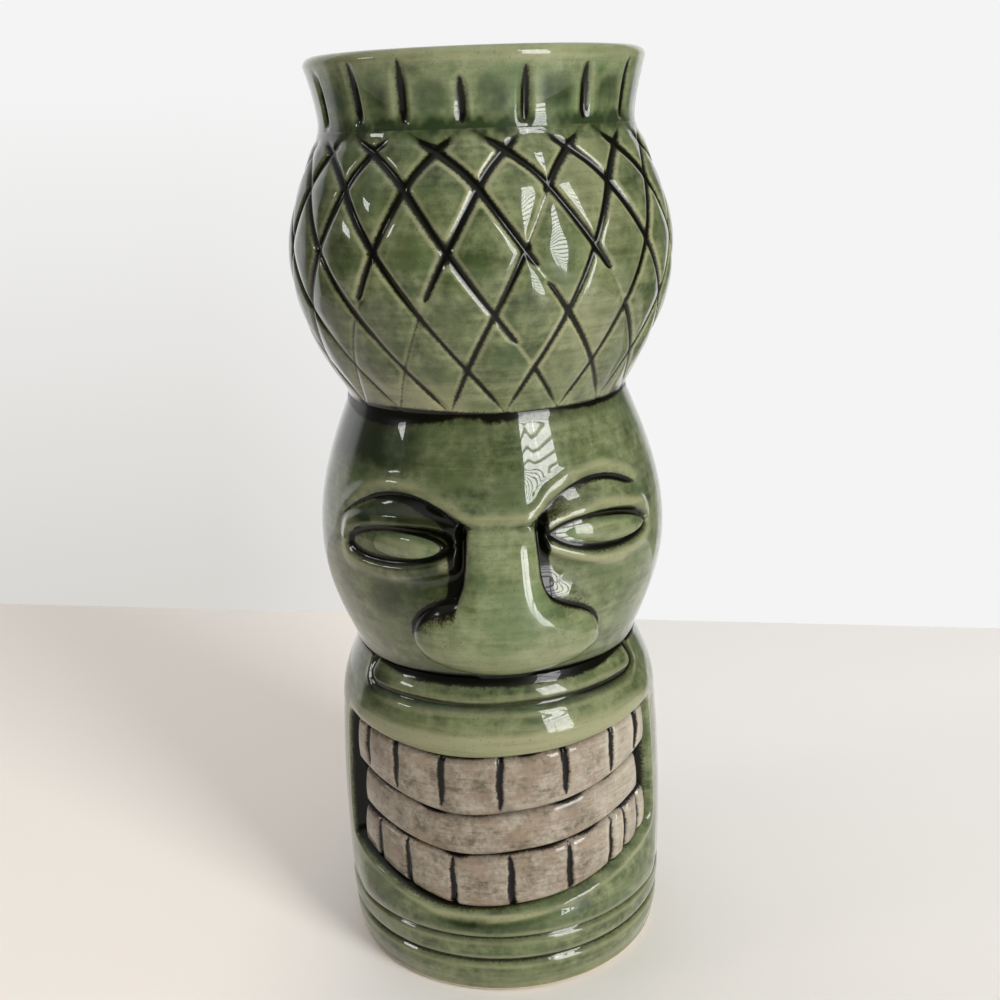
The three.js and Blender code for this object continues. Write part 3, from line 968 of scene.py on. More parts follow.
    def ink_of(
        self, angle: Array, height: Array, below: Array, off_nose: Array, off_eye: Array, over_eye: Array
    ) -> Array:
        """Dark wash of the face: below the brow, round the eyes and beside the nose.

        Args:
            angle: Angles of the places.
            height: Their heights.
            below: Distance below the brow's line.
            off_nose: Distance outside the nose's outline.
            off_eye: Distance outside the eye's almond.
            over_eye: Height over the eye's middle line.

        Returns:
            The ink at those places.
        """
        side = np.abs(angle)
        left = angle < 0
        brow_half = np.where(left, 0.35 + 1.35 * smooth(side, 60, 22), 1.0 - 0.15 * hump(side - 24, 8))
        brow_half = brow_half * np.where(left, smooth(side, 63, 56), np.sqrt(smooth(side, 54, 47)))
        brow = np.abs(below - brow_half + 0.4) - brow_half
        column = (side - np.where(left, 17.9, 16.6)) * FACE.scale
        column = np.maximum(off_nose - np.where(left, 3.5, 2.8), column) + 9 * smooth(height, 108, 103)
        beside = blended_min(column, off_nose - 0.4 + 2 * smooth(height, 98, 92), 1.6)
        eye_half = np.where(left, 0.62, 0.6) + np.where(over_eye > 0, 0.0, 0.16)
        eye = np.abs(off_eye - 0.6) - eye_half
        band = blended_min(brow, beside, 4.2) + 3 * smooth(below, 0.1, -0.7)
        rough = 0.2 * roughness(angle, height, seed=33) * left
        ink = ink_within(blended_min(band + rough, eye, 1.4)) * smooth(side, 63, 60)
        past = np.maximum(beside, 0)
        low = np.where(left, smooth(height, 102, 107), smooth(height, 103, 107) * smooth(height, 117, 110))
        wash = (0.47 + 0.1 * roughness(angle, height, seed=35)) * np.exp(-past / 2.6) * low * (below > 0)
        reach = np.where(left, 6.5, 7 * smooth(side, 34, 20) + 0.1)
        under = 0.46 * smooth(below - 2 * brow_half, reach, 0) * (below > 0)
        under = under * smooth(side, 56, 30) * smooth(side, 11, 14)
        bridge = smooth(side, 12.6, 10.4) * smooth(height, 121, 123)
        return np.maximum.reduce([ink, wash, under]) * (1 - bridge)

    def mark(self, skin: Skin, outside: Array, ink: Array, deep: Array, thin: Array) -> None:
        """Adds the pools in the creases above and below the head, and painted shade on its upper left and
        forehead, to the face's marks.

        Args:
            skin: The head's skin, which gets the marks.
            outside: Which places lie on its outer side.
            ink: The face's ink.
            deep: Its pooled glaze and painted shade.
            thin: Its thin glaze.
        """
        up, down = skin.height - FORM.ledge_top, FORM.head_top - skin.height
        left = self.left_smear.at(skin.angle)
        uneven = unevenness(skin.angle, skin.height, seed=31, pitch=60)
        brushed = roughness(skin.angle, skin.height, seed=32)
        thick = 0.7 + sum(pool.at(skin.angle) for pool in self.top_pools) + 0.3 * uneven
        thick = thick + brushed * (0.2 + self.dry_stretch.at(skin.angle))
        pool_top = ink_within((down - thick) * (1 - self.thin_edge.at(skin.angle)))
        smear = (0.4 + 0.08 * left) * np.exp(-np.maximum(down - thick, 0) / (1.6 + 2.5 * left))
        front = smooth(np.abs(skin.angle), 46, 26)
        pool_low = ink_within(up - 0.3 - 0.7 * front - 0.2 * uneven)
        skin.ink = np.where(outside, np.maximum.reduce([ink, pool_top, smear, pool_low]), 0)
        shade = 0.75 * np.exp(-down / 4) + 0.6 * np.exp(-up / 3.5)
        # Painted shade: the upper left of the head, away from the window, and the forehead left of its middle
        # are darkened.
        corner = 0.95 * smooth(skin.angle, -16, -38) * smooth(skin.angle, -150, -95)
        corner = corner * smooth(skin.height, 134, 141)
        forehead_shade = 0.4 * smooth(np.abs(skin.angle + 8), 34, 10) * smooth(skin.height, 127, 134)
        skin.deep = np.where(outside, np.maximum.reduce([deep, shade, corner, forehead_shade]), 0.3)
        skin.thin = np.maximum(thin, 0.2)


@dataclass
class Disc:
    """A lens in its own grid: its front lies at 1, its back at 0, both round the axis."""

    name: str
    columns: int
    rings: int
    back_rings: int = 3

    def make(self) -> tuple[bpy.types.Object, Array, Array, Array]:
        """Wraps the lens and reads it back.

        Returns:
            The lens's object, and each vertex's place across and up, and whether it lies in front.
        """
        front = [(ring / self.rings, 1.0) for ring in range(self.rings + 1)]
        back = [(ring / self.back_rings, 0.0) for ring in range(self.back_rings, -1, -1)]
        piece = to_object(wrap_profile(front + back, self.columns, closed=False), self.name)
        places = grid_of(piece)
        return piece, places[:, 0], places[:, 1], places[:, 2] > LENS_MIDDLE


@dataclass
class Nose(Piece):
    """The broad nose: a straight bridge that flares into two round nostrils."""

    name: str = "nose_glazed"
    nodes: tuple[str, ...] = ("nose",)
    slot: str = "pale_green_glaze"
    shoulder: float = 8.6
    bridge_radius: float = 44.3
    tip_radius: float = 46.9
    sunk: float = 3.3
    roundness: float = 2.5
    bridge_rise: Span = (122.5, 126.2)
    bridge_sides: Span = (9.0, 7.0)
    droop: float = 2.0
    droop_range: Span = (99.0, 88.0)
    side_droop: float = 1.6
    side_reach: float = 24.0
    side_range: Span = (114.0, 104.0)
    outward_crowding: float = 1.5
    back_gap: float = 0.4
    bridge_step: float = 0.62
    bridge_shoulder: float = 1.6
    left_wash: float = 3.6
    right_wash: float = 1.0

    def build(self) -> bpy.types.Object:
        """Wraps a lens, stretches it to the nose's outline and raises it.

        Returns:
            The nose.
        """
        piece, across, up, front = Disc(self.name, columns=260, rings=46).make()
        bearing = np.arctan2(up, across)
        loop = FACE.nose_loop(per=12)
        share = 1 - (1 - np.hypot(across, up)) ** self.outward_crowding
        reach = share * FACE.nose_reach(loop, bearing)
        across, height = reach * np.cos(bearing), FACE.nose_centre + reach * np.sin(bearing)
        inside = np.where(share > WHOLE, 0, distance_to(loop, across, height))
        radius = self.front_radius(across, height, inside)
        back = FORM.of_head(height) - self.sunk - self.back_gap
        skin = Skin(across / FACE.scale, np.where(front, radius, back), height)
        self.mark(skin, inside, front)
        lay_skin(piece, skin)
        return piece

    def front_radius(self, across: Array, height: Array, inside: Array) -> Array:
        """Radius of the nose's front.

        Args:
            across: Places across the face, in millimetres.
            height: Their heights.
            inside: Their distances inside the outline.

        Returns:
            The radii.
        """
        rise = 0.5 * smooth(height, 127, 102) + 0.5 * np.clip((126 - height) / 23, 0, 1)
        ridge = self.bridge_radius + (self.tip_radius - self.bridge_radius) * rise
        ridge = ridge - self.droop * smooth(height, *self.droop_range)
        ridge = ridge - self.side_droop * (across / self.side_reach) ** 2 * smooth(height, *self.side_range)
        at_bridge = smooth(height, *self.bridge_rise) * smooth(np.abs(across), *self.bridge_sides)
        low = FORM.of_head(height) - self.sunk + (self.sunk + self.bridge_step) * at_bridge
        reach = self.shoulder - (self.shoulder - self.bridge_shoulder) * at_bridge
        share = np.clip(inside / reach, 0, 1)
        shoulder = (1 - (1 - share) ** self.roundness) ** (1 / self.roundness)
        return low + (ridge - low) * shoulder

    def mark(self, skin: Skin, inside: Array, front: Array) -> None:
        """Marks the dark sides of the nose, the speckled tops of its nostrils and a painted shade across the
        top of its bridge.

        Args:
            skin: The nose's skin, which gets the marks.
            inside: Distance inside the outline.
            front: Which places lie on its front.
        """
        side, left = np.abs(skin.angle), skin.angle < 0
        high = smooth(skin.height, 126.4, 125.4)
        curl = smooth(side, 12.5, 15) * smooth(skin.height, 98.5, 101.5)
        brushed = roughness(skin.angle, skin.height, seed=37)
        thick = np.where(left, 2.7 + 0.25 * brushed, 0.9)
        wide = 0.75 * smooth(skin.height, 108, 112) + thick * curl - 1.2 * (1 - smooth(skin.height, 98, 100))
        sides = ink_within(inside - wide) * high
        wash = np.exp(-np.maximum(inside - wide, 0) / np.where(left, self.left_wash, self.right_wash))
        skin.ink = np.where(front, np.maximum(sides, (0.5 + 0.12 * brushed) * wash * curl), 0.6)
        # Painted shade: a soft dark band across the top of the bridge, below the brow.
        line = hump(skin.height - 125.6, 2.4) * smooth(side, 12, 9)
        skin.deep = np.maximum(0.2 * line, 0.4 * np.exp(-inside / 1.8))
        skin.thin = 0.25 + 0.25 * smooth(skin.height, 104, 92)


@dataclass
class Eye(Piece):
    """The pale almond ball inside an eye's dark outline."""

    side: int = 1
    slot: str = "green_glaze"
    margin: float = 0.1
    dome: float = 1.9
    sunk: float = 2.6
    turn: float = 2.1
    front_gap: float = 0.5
    back_gap: float = 0.6

    def build(self) -> bpy.types.Object:
        """Wraps a lens and stretches it to the almond.

        Returns:
            The eye.
        """
        piece, across, up, front = Disc(self.name, columns=120, rings=22).make()
        share, along = np.hypot(across, up), np.clip(across, -1, 1)
        within = np.where(np.abs(along) < WHOLE, up / np.sqrt(np.clip(1 - along**2, 1e-9, 1)), 0)
        angle = self.side * (FACE.eye_middle + FACE.eye_half_angle * along)
        fullness = np.clip(1 - np.abs(along) ** FACE.eye_fullness, 0, 1) ** FACE.eye_point(angle)
        height = FACE.eye_line(angle) + within * (FACE.eye_half_height + self.margin) * fullness
        base = FORM.of_head(height) - self.sunk + self.turn * self.side * along
        domed = self.dome * np.sqrt(np.clip(1 - share**3, 0, 1)) + self.front_gap
        skin = Skin(angle, base + np.where(front, domed, -self.back_gap), height)
        skin.ink = np.where(front, 0.9 * smooth(share, 0.86, 1.0), 0.6)
        skin.thin = 0.45 * smooth(share, 0.95, 0.4)
        # Glaze pools towards the eye's rim; its upper half is darkened as painted shade under the lid.
        skin.deep = 0.35 * smooth(share, 0.5, 1.0) + 0.25 * smooth(within, 0.1, 0.8)
        if self.side < 0:
            piece.data.flip_normals()
        lay_skin(piece, skin)
        return piece


@dataclass
class Smile:
    """Lines of the mouth: each by its lowest level, its rise at the corners and its sag at the left."""

    middle: float = -3.5
    half_angle: float = 67.5
    lower_lip: tuple[float, float, float] = (25.5, 11.0, 2.4)
    tongue: tuple[float, float, float] = (40.5, 7.5, 2.3)
    bite: tuple[float, float, float] = (52.0, 8.3, 2.4)
    upper_lip: tuple[float, float, float] = (67.7, 3.9, 1.0)
    radius: float = 43.0
    corner_blend: float = 1.6

    @staticmethod
    def line(angle: Array, level: float, rise: float, sag: float) -> Array:
        """Height of a line of the mouth at an angle: it rises to both corners and sags at the left."""
        return level + rise * np.sin(np.radians(angle)) ** 2 - sag * smooth(angle, 8, -26)

    def inside(self, angle: Array, height: Array) -> Array:
        """Measures how far places lie inside the mouth's opening, whose corners are round.

        Args:
            angle: Angles of the places.
            height: Their heights.

        Returns:
            The distances; they are negative on the lips.
        """
        top = self.line(angle, *self.upper_lip) - height
        bottom = height - self.line(angle, *self.lower_lip)
        side = np.radians(self.half_angle - np.abs(angle - self.middle)) * self.radius
        gaps = np.clip(np.stack([top, bottom, side]), -40, 60)
        return -self.corner_blend * np.log(np.exp(-gaps / self.corner_blend).sum(axis=0))


SMILE = Smile()


@dataclass
class Mouth(Piece):
    """The barrel with both lips, the recess of the mouth and the ledge below the nose."""

    name: str = "mouth_glazed"
    nodes: tuple[str, ...] = ("mouth_tier", "lip_ledge")
    slot: str = "green_glaze"
    columns: int = 500
    rows: int = 168
    crowding: float = 0.35
    recess: float = 4.4
    upper_bulge: float = 1.0
    lower_bulge: float = 1.4
    ledge_roll: float = 0.9
    ledge_end: float = 59.5
    score_depth: float = 1.1
    upper_roll: Span = (73.4, 6.4)
    lower_roll: Span = (0.36, 0.64)
    lip_end: Span = (1.0, -0.6)
    recess_edge: Span = (-0.9, 1.4)
    front_end: Span = (74, 58)
    ledge_place: Span = (-0.6, 4.2)
    ledge_fade: Span = (64, 58)
    score_bank: float = 1.7
    score_half: float = 0.36
    ledge_score_half: float = 0.28
    ledge_score_more: float = 0.3
    ledge_score_top: float = 2.4
    worn: Patch = Patch(-14, 13, 0.3)
    left_corner: Patch = Patch(-54, 15, 1.1)

    def build(self) -> bpy.types.Object:
        """Wraps the barrel, crowds its grid to the front and works the lips.

        Returns:
            The mouth's tier.
        """
        piece, angle, share, through = Ring(self.name, self.columns, self.rows, inner_rows=12).make()
        outside = through > WALL_MIDDLE
        angle = crowded(angle, self.crowding)
        height = FORM.foot_top + share * (FORM.ledge_top - FORM.foot_top)
        body = FORM.of_body(height)
        inside = SMILE.inside(angle, height)
        upper_level, upper_half = self.upper_roll
        lips = self.upper_bulge * hump(height - upper_level, upper_half)
        band = SMILE.line(angle, *SMILE.lower_lip) - FORM.foot_top
        middle, half = (share * band for share in self.lower_roll)
        lips = lips + self.lower_bulge * hump(height - FORM.foot_top - middle, half)
        lips = lips * smooth(np.abs(angle), *self.front_end) * smooth(inside, *self.lip_end)
        dent = self.recess * smooth(inside, *self.recess_edge)
        ledge_middle, ledge_half = self.ledge_place
        ledge_middle = (FORM.mouth_top + FORM.ledge_top) / 2 + ledge_middle
        ledge = self.ledge_roll * hump(height - ledge_middle, ledge_half)
        ledge = ledge * smooth(np.abs(angle), *self.ledge_fade)
        edge = self.score_edge(angle, height)
        score = self.score_depth * hump(np.maximum(edge + 0.5, 0), self.score_bank)
        relief = lips - dent + ledge - score
        inner = np.minimum(FORM.bore, body - FORM.wall)
        skin = Skin(angle, np.where(outside, body + relief, inner), height)
        self.mark(skin, outside, inside, edge)
        lay_skin(piece, skin)
        return piece

    def score_edge(self, angle: Array, height: Array) -> Array:
        """Measures how far places lie outside the scores: the foot's, and the one round the ledge.

        Args:
            angle: Angles of the places.
            height: Their heights.

        Returns:
            Distance outside the dark edge of the nearest one.
        """
        middle = (FORM.mouth_top + FORM.ledge_top) / 2 + 1.4
        half_tall = middle - FORM.mouth_top - 0.4
        across = np.radians(np.abs(angle)) * FORM.neck
        end = np.radians(self.ledge_end) * FORM.neck - half_tall
        round_end = np.hypot(np.maximum(across - end, 0), height - middle) - half_tall
        fade = smooth(np.abs(angle + 12), 0, 22)
        ledge = np.abs(round_end) - self.ledge_score_half - self.ledge_score_more * fade
        ledge = np.where(height > middle + self.ledge_score_top, FAR, ledge)
        return np.minimum(np.abs(height - FORM.foot_top) - self.score_half, ledge)

    def mark(self, skin: Skin, outside: Array, inside: Array, edge: Array) -> None:
        """Marks the dark lines of the mouth and the pale rolls of the lips.

        Args:
            skin: The mouth's skin, which gets the marks.
            outside: Which places lie on its outer side.
            inside: Distance inside the mouth's opening.
            edge: Distance outside the nearest score's dark edge.
        """
        side = np.abs(skin.angle)
        uneven = unevenness(skin.angle, skin.height, seed=43, pitch=50)
        down = FORM.ledge_top - skin.height
        under = skin.height < SMILE.tongue[0]
        low_rim = 0.5 + 0.15 * uneven + 0.7 * smooth(skin.angle, -8, -38)
        rim = ink_within(np.abs(inside - 1.0) - np.where(under, low_rim, -0.3 + 0.3 * uneven))
        end = smooth(np.abs(skin.angle - SMILE.middle), SMILE.half_angle - 9, SMILE.half_angle - 4)
        pit = ink_within(1.3 - np.where(skin.angle < 0, 1.6, 0.9) * end - inside)
        brushed = roughness(skin.angle, skin.height, seed=44)
        reach = 0.4 + (1.3 + 0.2 * brushed) * smooth(side, 54, 34) + 0.2 * uneven
        under_nose = ink_within(0.8 * (down - reach))
        smear = 0.45 * np.exp(-down / (3.0 + brushed)) * smooth(side, 60, 34)
        worn = 0.62 + 0.38 * smooth(skin.angle, 20, 34) + self.worn.at(skin.angle) + 0.1 * uneven
        scored = ink_within(edge) * np.where(skin.height > SMILE.upper_lip[0], np.clip(worn, 0, 1), 0.86)
        ink = np.maximum.reduce([scored, rim, pit, under_nose, smear])
        skin.ink = np.where(outside, ink, 0)
        roll = 0.8 * hump(skin.height - 71.5, 7.5) * smooth(side, 70, 50)
        low = 0.8 * hump(inside + 1.4, 1.6) * (0.7 + 0.5 * uneven)
        beside = 0.5 * hump(edge - 1.6, 1.5)
        skin.thin = np.where(outside, np.maximum.reduce([roll, low, beside]), 0.2)
        pool = 0.5 * hump(skin.height - 21.5, 3.4) * smooth(side, 50, 20) * (0.7 + 0.5 * uneven)
        near = 0.8 * np.exp(-np.maximum(edge, 0) / 1.3)
        corner = self.left_corner.at(skin.angle) * hump(skin.height - 80.5, 6.5)
        aside = 0.3 * smooth(side, 66, 90)
        skin.deep = np.where(outside, np.maximum.reduce([near, pool, corner, aside]), 0.3)


@dataclass
class Teeth(Piece):
    """A band in the mouth between two of its lines, scored into teeth or left plain."""

    slot: str = "tooth_glaze"
    low_line: tuple[float, float, float] = (0, 0, 0)
    high_line: tuple[float, float, float] = (0, 0, 0)
    edges: tuple[float, ...] = ()
    stroke: Span = (0.1, 0.98)
    proud: float = 41.3
    bulge: float = 0.55
    back: float = 38.9
    stroke_half: float = 0.78
    stroke_depth: float = 0.65
    shy: float = 1.6
    seam: float = 0.25
    ends: Span = (2.6, 0.9)
    point_up: bool = False
    fan_from: float = 180.0
    fan_swell: float = 0.5
    fan_width: float = 0.5
    seed: int = 1
    columns: int = 330
    rows: int = 34
    line_gap: float = 0.1
    edge_reach: float = 1.5
    edge_drop: float = 1.3
    end_drop: float = 2.2
    bottom_shifts: Span = (-0.04, 0.06)
    top_shifts: Span = (-0.03, 0.03)
    leans: Span = (-0.5, 0.5)
    widths: Span = (0.85, 1.15)

    def build(self) -> bpy.types.Object:
        """Bends a slab into the mouth, rounds its edges and presses the strokes.

        Returns:
            The band of teeth.
        """
        maker = bmesh.new()
        bmesh.ops.create_grid(maker, x_segments=self.columns, y_segments=self.rows, size=1)
        front = bmesh.ops.extrude_face_region(maker, geom=maker.faces[:], use_keep_orig=True)
        raised = [item for item in front["geom"] if isinstance(item, bmesh.types.BMVert)]
        bmesh.ops.translate(maker, verts=raised, vec=(0, 0, 1))
        piece = to_object(maker, self.name)
        places = grid_of(piece)
        across, up = places[:, 0], np.sin(places[:, 1] * np.pi / 2)
        in_front = places[:, 2] > LENS_MIDDLE
        angle = SMILE.middle + across * (SMILE.half_angle - self.shy)
        low = SMILE.line(angle, *self.low_line) + self.line_gap
        fan, scallop = self.fan(angle)
        high = SMILE.line(angle, *self.high_line) - self.line_gap + scallop
        share = (up + 1) / 2
        height = low + (high - low) * share
        from_edge = np.minimum(height - low, high - height)
        roll = 1 - (1 - np.clip(from_edge / self.edge_reach, 0, 1)) ** 2
        from_end = (1 - np.abs(across)) * np.radians(SMILE.half_angle) * self.proud
        end = from_end - np.where(across < 0, *self.ends) - 0.8 * up
        radius = self.proud - self.edge_drop * (1 - roll) + self.bulge * (1 - up**2)
        radius = radius - self.end_drop * smooth(end, 1.6, -1.2)
        nearest, relief = self.press(angle, share)
        radius = np.maximum(radius + relief + fan * self.fan_swell, self.back + 0.2)
        skin = Skin(angle, np.where(in_front, radius, self.back), height)
        self.mark(skin, from_edge, nearest, in_front, end)
        lay_skin(piece, skin)
        return piece

    def fan(self, angle: Array) -> tuple[Array, Array]:
        """Shapes the small teeth that crowd at the right corner.

        Args:
            angle: Angles of the places.

        Returns:
            How far each place of them is swollen, from 0 to 1, and how far their tops are raised.
        """
        swollen, raised = np.zeros_like(angle), np.zeros_like(angle)
        for left, right in zip(self.edges, [*self.edges[1:], SMILE.middle + SMILE.half_angle - self.shy]):
            if left < self.fan_from:
                continue
            share = np.clip((angle - left) / (right - left), 0, 1)
            arch = np.sin(np.pi * share)
            swollen = np.maximum(swollen, arch)
            raised = raised + np.where((share > 0) & (share < 1), 0.9 * arch - 0.4, 0)
        return swollen, raised

    def press(self, angle: Array, share: Array) -> tuple[Array, Array]:
        """Presses the strokes between the teeth.

        Args:
            angle: Angles of the places.
            share: Their shares of the band's height.

        Returns:
            Distance outside the nearest stroke's dark edge, and the relief, in millimetres.
        """
        edge = np.full(angle.shape, FAR)
        relief = np.zeros_like(angle)
        random = np.random.default_rng(self.seed)
        for middle in self.edges:
            bottom = self.stroke[0] + random.uniform(*self.bottom_shifts)
            top = self.stroke[1] + random.uniform(*self.top_shifts)
            lean = random.uniform(*self.leans)
            place = (share - bottom) / (top - bottom)
            body = self.taper(np.clip(place, 0, 1))
            half = self.stroke_half * body * random.uniform(*self.widths)
            half = half * (self.fan_width if middle > self.fan_from else 1)
            away = np.radians(angle - middle) * self.proud - lean * (share - 0.5)
            away = np.abs(away + 0.14 * np.sin(9 * place + 20 * lean) + 0.07 * np.sin(31 * place + 50 * lean))
            ends = 12 * np.maximum(np.maximum(-place, place - 1), 0)
            edge = np.minimum(edge, away - half + ends)
            relief = np.minimum(relief, -self.stroke_depth * body * hump(away, 1.5) * hump(ends, 2))
        return edge, relief

    def taper(self, place: Array) -> Array:
        """Narrows a stroke to where the tool was lifted, and blunts both its ends.

        Args:
            place: Places along the stroke, from 0 at its bottom to 1 at its top.

        Returns:
            Its width there, as a share of the full one.
        """
        start = 1 - place if self.point_up else place
        ends = np.clip(start * 9, 0.01, 1) * np.clip((1 - start) * 14, 0.01, 1)
        return (0.65 + 0.4 * smooth(start, 0, 0.5)) * np.sqrt(ends)

    def mark(self, skin: Skin, from_edge: Array, edge: Array, in_front: Array, end: Array) -> None:
        """Marks the ink between the teeth and the wash on them.

        Args:
            skin: The band's skin, which gets the marks.
            from_edge: Distance from its upper or lower edge, whichever is nearer.
            edge: Distance outside the nearest stroke's dark edge.
            in_front: Which places lie on its front.
            end: Distance from its nearer end.
        """
        uneven = unevenness(skin.angle * 3, skin.height, seed=50 + self.seed, pitch=30)
        seam = ink_within(from_edge - self.seam - 0.35 * uneven) * (0.85 + 0.3 * uneven)
        skin.ink = np.where(in_front, np.maximum.reduce([seam, ink_within(edge), ink_within(end)]), 0.8)
        skin.deep = 0.45 * np.exp(-from_edge / 1.4) + 0.35 * smooth(uneven, 0.1, 1.0)
        skin.thin = 0.2 * (smooth(edge, 0.2, 0.7) * smooth(edge, 2.2, 0.9)) + 0.5 * smooth(skin.angle, 10, 50)


@dataclass
class Foot(Piece):
    """The closed floor on its flat ring, with one scored line round it."""

    name: str = "foot_glazed"
    nodes: tuple[str, ...] = ("foot",)
    slot: str = "green_glaze"
    score_level: float = 10.0
    score_half: float = 0.4
    score_depth: float = 0.9
    edge_round: float = 2.2
    ring_width: float = 6.0
    recess: float = 2.0
    floor: float = 5.0
    fillet: float = 7.0
    rows: int = 46
    columns: int = 480
    arc_steps: int = 9
    shoulder: float = 3.0
    bands: float = 0.35
    ring_slope: tuple[Span, ...] = ((2.4, 1.0), (1.2, 0.85), (0.4, 0.175), (0.0, 0.0))

    def outline(self) -> list[Span]:
        """Draws the foot's profile from the middle of its underside round to the middle of its floor.

        Returns:
            Radius and height of each point.
        """
        edge = FORM.foot - self.edge_round
        ring = edge - self.ring_width
        corner = [
            (edge + self.edge_round * math.sin(turn), self.edge_round * (1 - math.cos(turn)))
            for turn in np.linspace(0, math.pi / 2, self.arc_steps)
        ]
        side = np.linspace(self.edge_round, FORM.foot_top, self.rows + 1)[1:]
        round_top = self.edge_round + self.shoulder
        body = np.interp(side, [self.edge_round, round_top], [FORM.foot, FORM.of_body(round_top)])
        body = np.where(side > round_top, FORM.of_body(side), body)
        top = self.recess + self.floor
        inner = [
            (FORM.bore - self.fillet * (1 - math.cos(turn)), top + self.fillet * (1 - math.sin(turn)))
            for turn in np.linspace(0, math.pi / 2, self.arc_steps)
        ]
        slope = [(ring - inset, self.recess * share) for inset, share in self.ring_slope]
        under = [(0.0, self.recess), *slope, ((ring + edge) / 2, 0.0)]
        return [*under, *corner, *zip(body, side), (FORM.bore, FORM.foot_top), *inner, (0.0, top)]

    def build(self) -> bpy.types.Object:
        """Wraps the profile and scores its line.

        Returns:
            The foot.
        """
        piece = to_object(wrap_profile(self.outline(), self.columns, closed=False), self.name)
        places = grid_of(piece)
        radius, height = np.hypot(places[:, 0], places[:, 1]), places[:, 2]
        angle = np.degrees(np.arctan2(places[:, 0], -places[:, 1]))
        outside = (radius > FORM.bore + 1) & (height > 0.01)
        line = np.minimum(np.abs(height - self.score_level), np.abs(height - FORM.foot_top))
        rolls = np.abs(np.sin(np.pi * (height - self.score_level) / (FORM.foot_top - self.score_level)))
        relief = self.bands * rolls - self.score_depth * hump(line, 1.5)
        skin = Skin(angle, radius + np.where(outside, relief * smooth(height, 0, 3), 0), height)
        uneven = unevenness(angle, height, seed=61, pitch=60)
        skin.ink = np.where(outside, 0.86 * ink_within(line - self.score_half - 0.06 * uneven), 0)
        skin.deep = np.where(outside, 0.7 * np.exp(-line / 1.1), 0.2)
        skin.thin = np.where(outside, 0.2 + 0.25 * smooth(height, 9, 2) + 0.3 * hump(line - 1.5, 1.3), 0.2)
        lay_skin(piece, skin)
        return piece

    def dress(self, piece: bpy.types.Object, finish: bpy.types.Material) -> None:
        """Glazes the foot, but for the dry clay of its underside.

        Args:
            piece: The built foot.
            finish: The glaze.
        """
        super().dress(piece, finish)
        piece.data.materials.append(DryClay().material())
        for face in piece.data.polygons:
            if face.center.z < self.recess * 1.1 * MM and face.normal.z < -0.5:
                face.material_index = 1


def linear(code: str) -> tuple[float, float, float, float]:
    """Turns an sRGB hex colour into a linear one with alpha."""
    shares = [int(code[i : i + 2], 16) / 255 for i in (1, 3, 5)]
    return (*[s / 12.92 if s <= 0.04045 else ((s + 0.055) / 1.055) ** 2.4 for s in shares], 1.0)


def add_node(
    tree: bpy.types.NodeTree, kind: str, settings: dict[str, str] | None = None,
    inputs: dict[str | int, object] | None = None,
) -> bpy.types.Node:
    """Adds a node to a tree.

    Args:
        tree: The material's or the world's tree.
        kind: The node's type.
        settings: Its properties.
        inputs: Its inputs by name or number, each a value or another node's output.

    Returns:
        The node.
    """
    node = tree.nodes.new(kind)
    for name, value in (settings or {}).items():
        setattr(node, name, value)
    for name, value in (inputs or {}).items():
        if isinstance(value, bpy.types.NodeSocket):
            tree.links.new(value, node.inputs[name])
        else:
            node.inputs[name].default_value = value
    return node


def new_tree(name: str) -> tuple[bpy.types.Material, bpy.types.NodeTree]:
    """Makes an empty node material.

    Args:
        name: The real finish.

    Returns:
        The material and its tree.
    """
    material = bpy.data.materials.new(name)
    material.use_nodes = True
    material.node_tree.nodes.clear()
    return material, material.node_tree


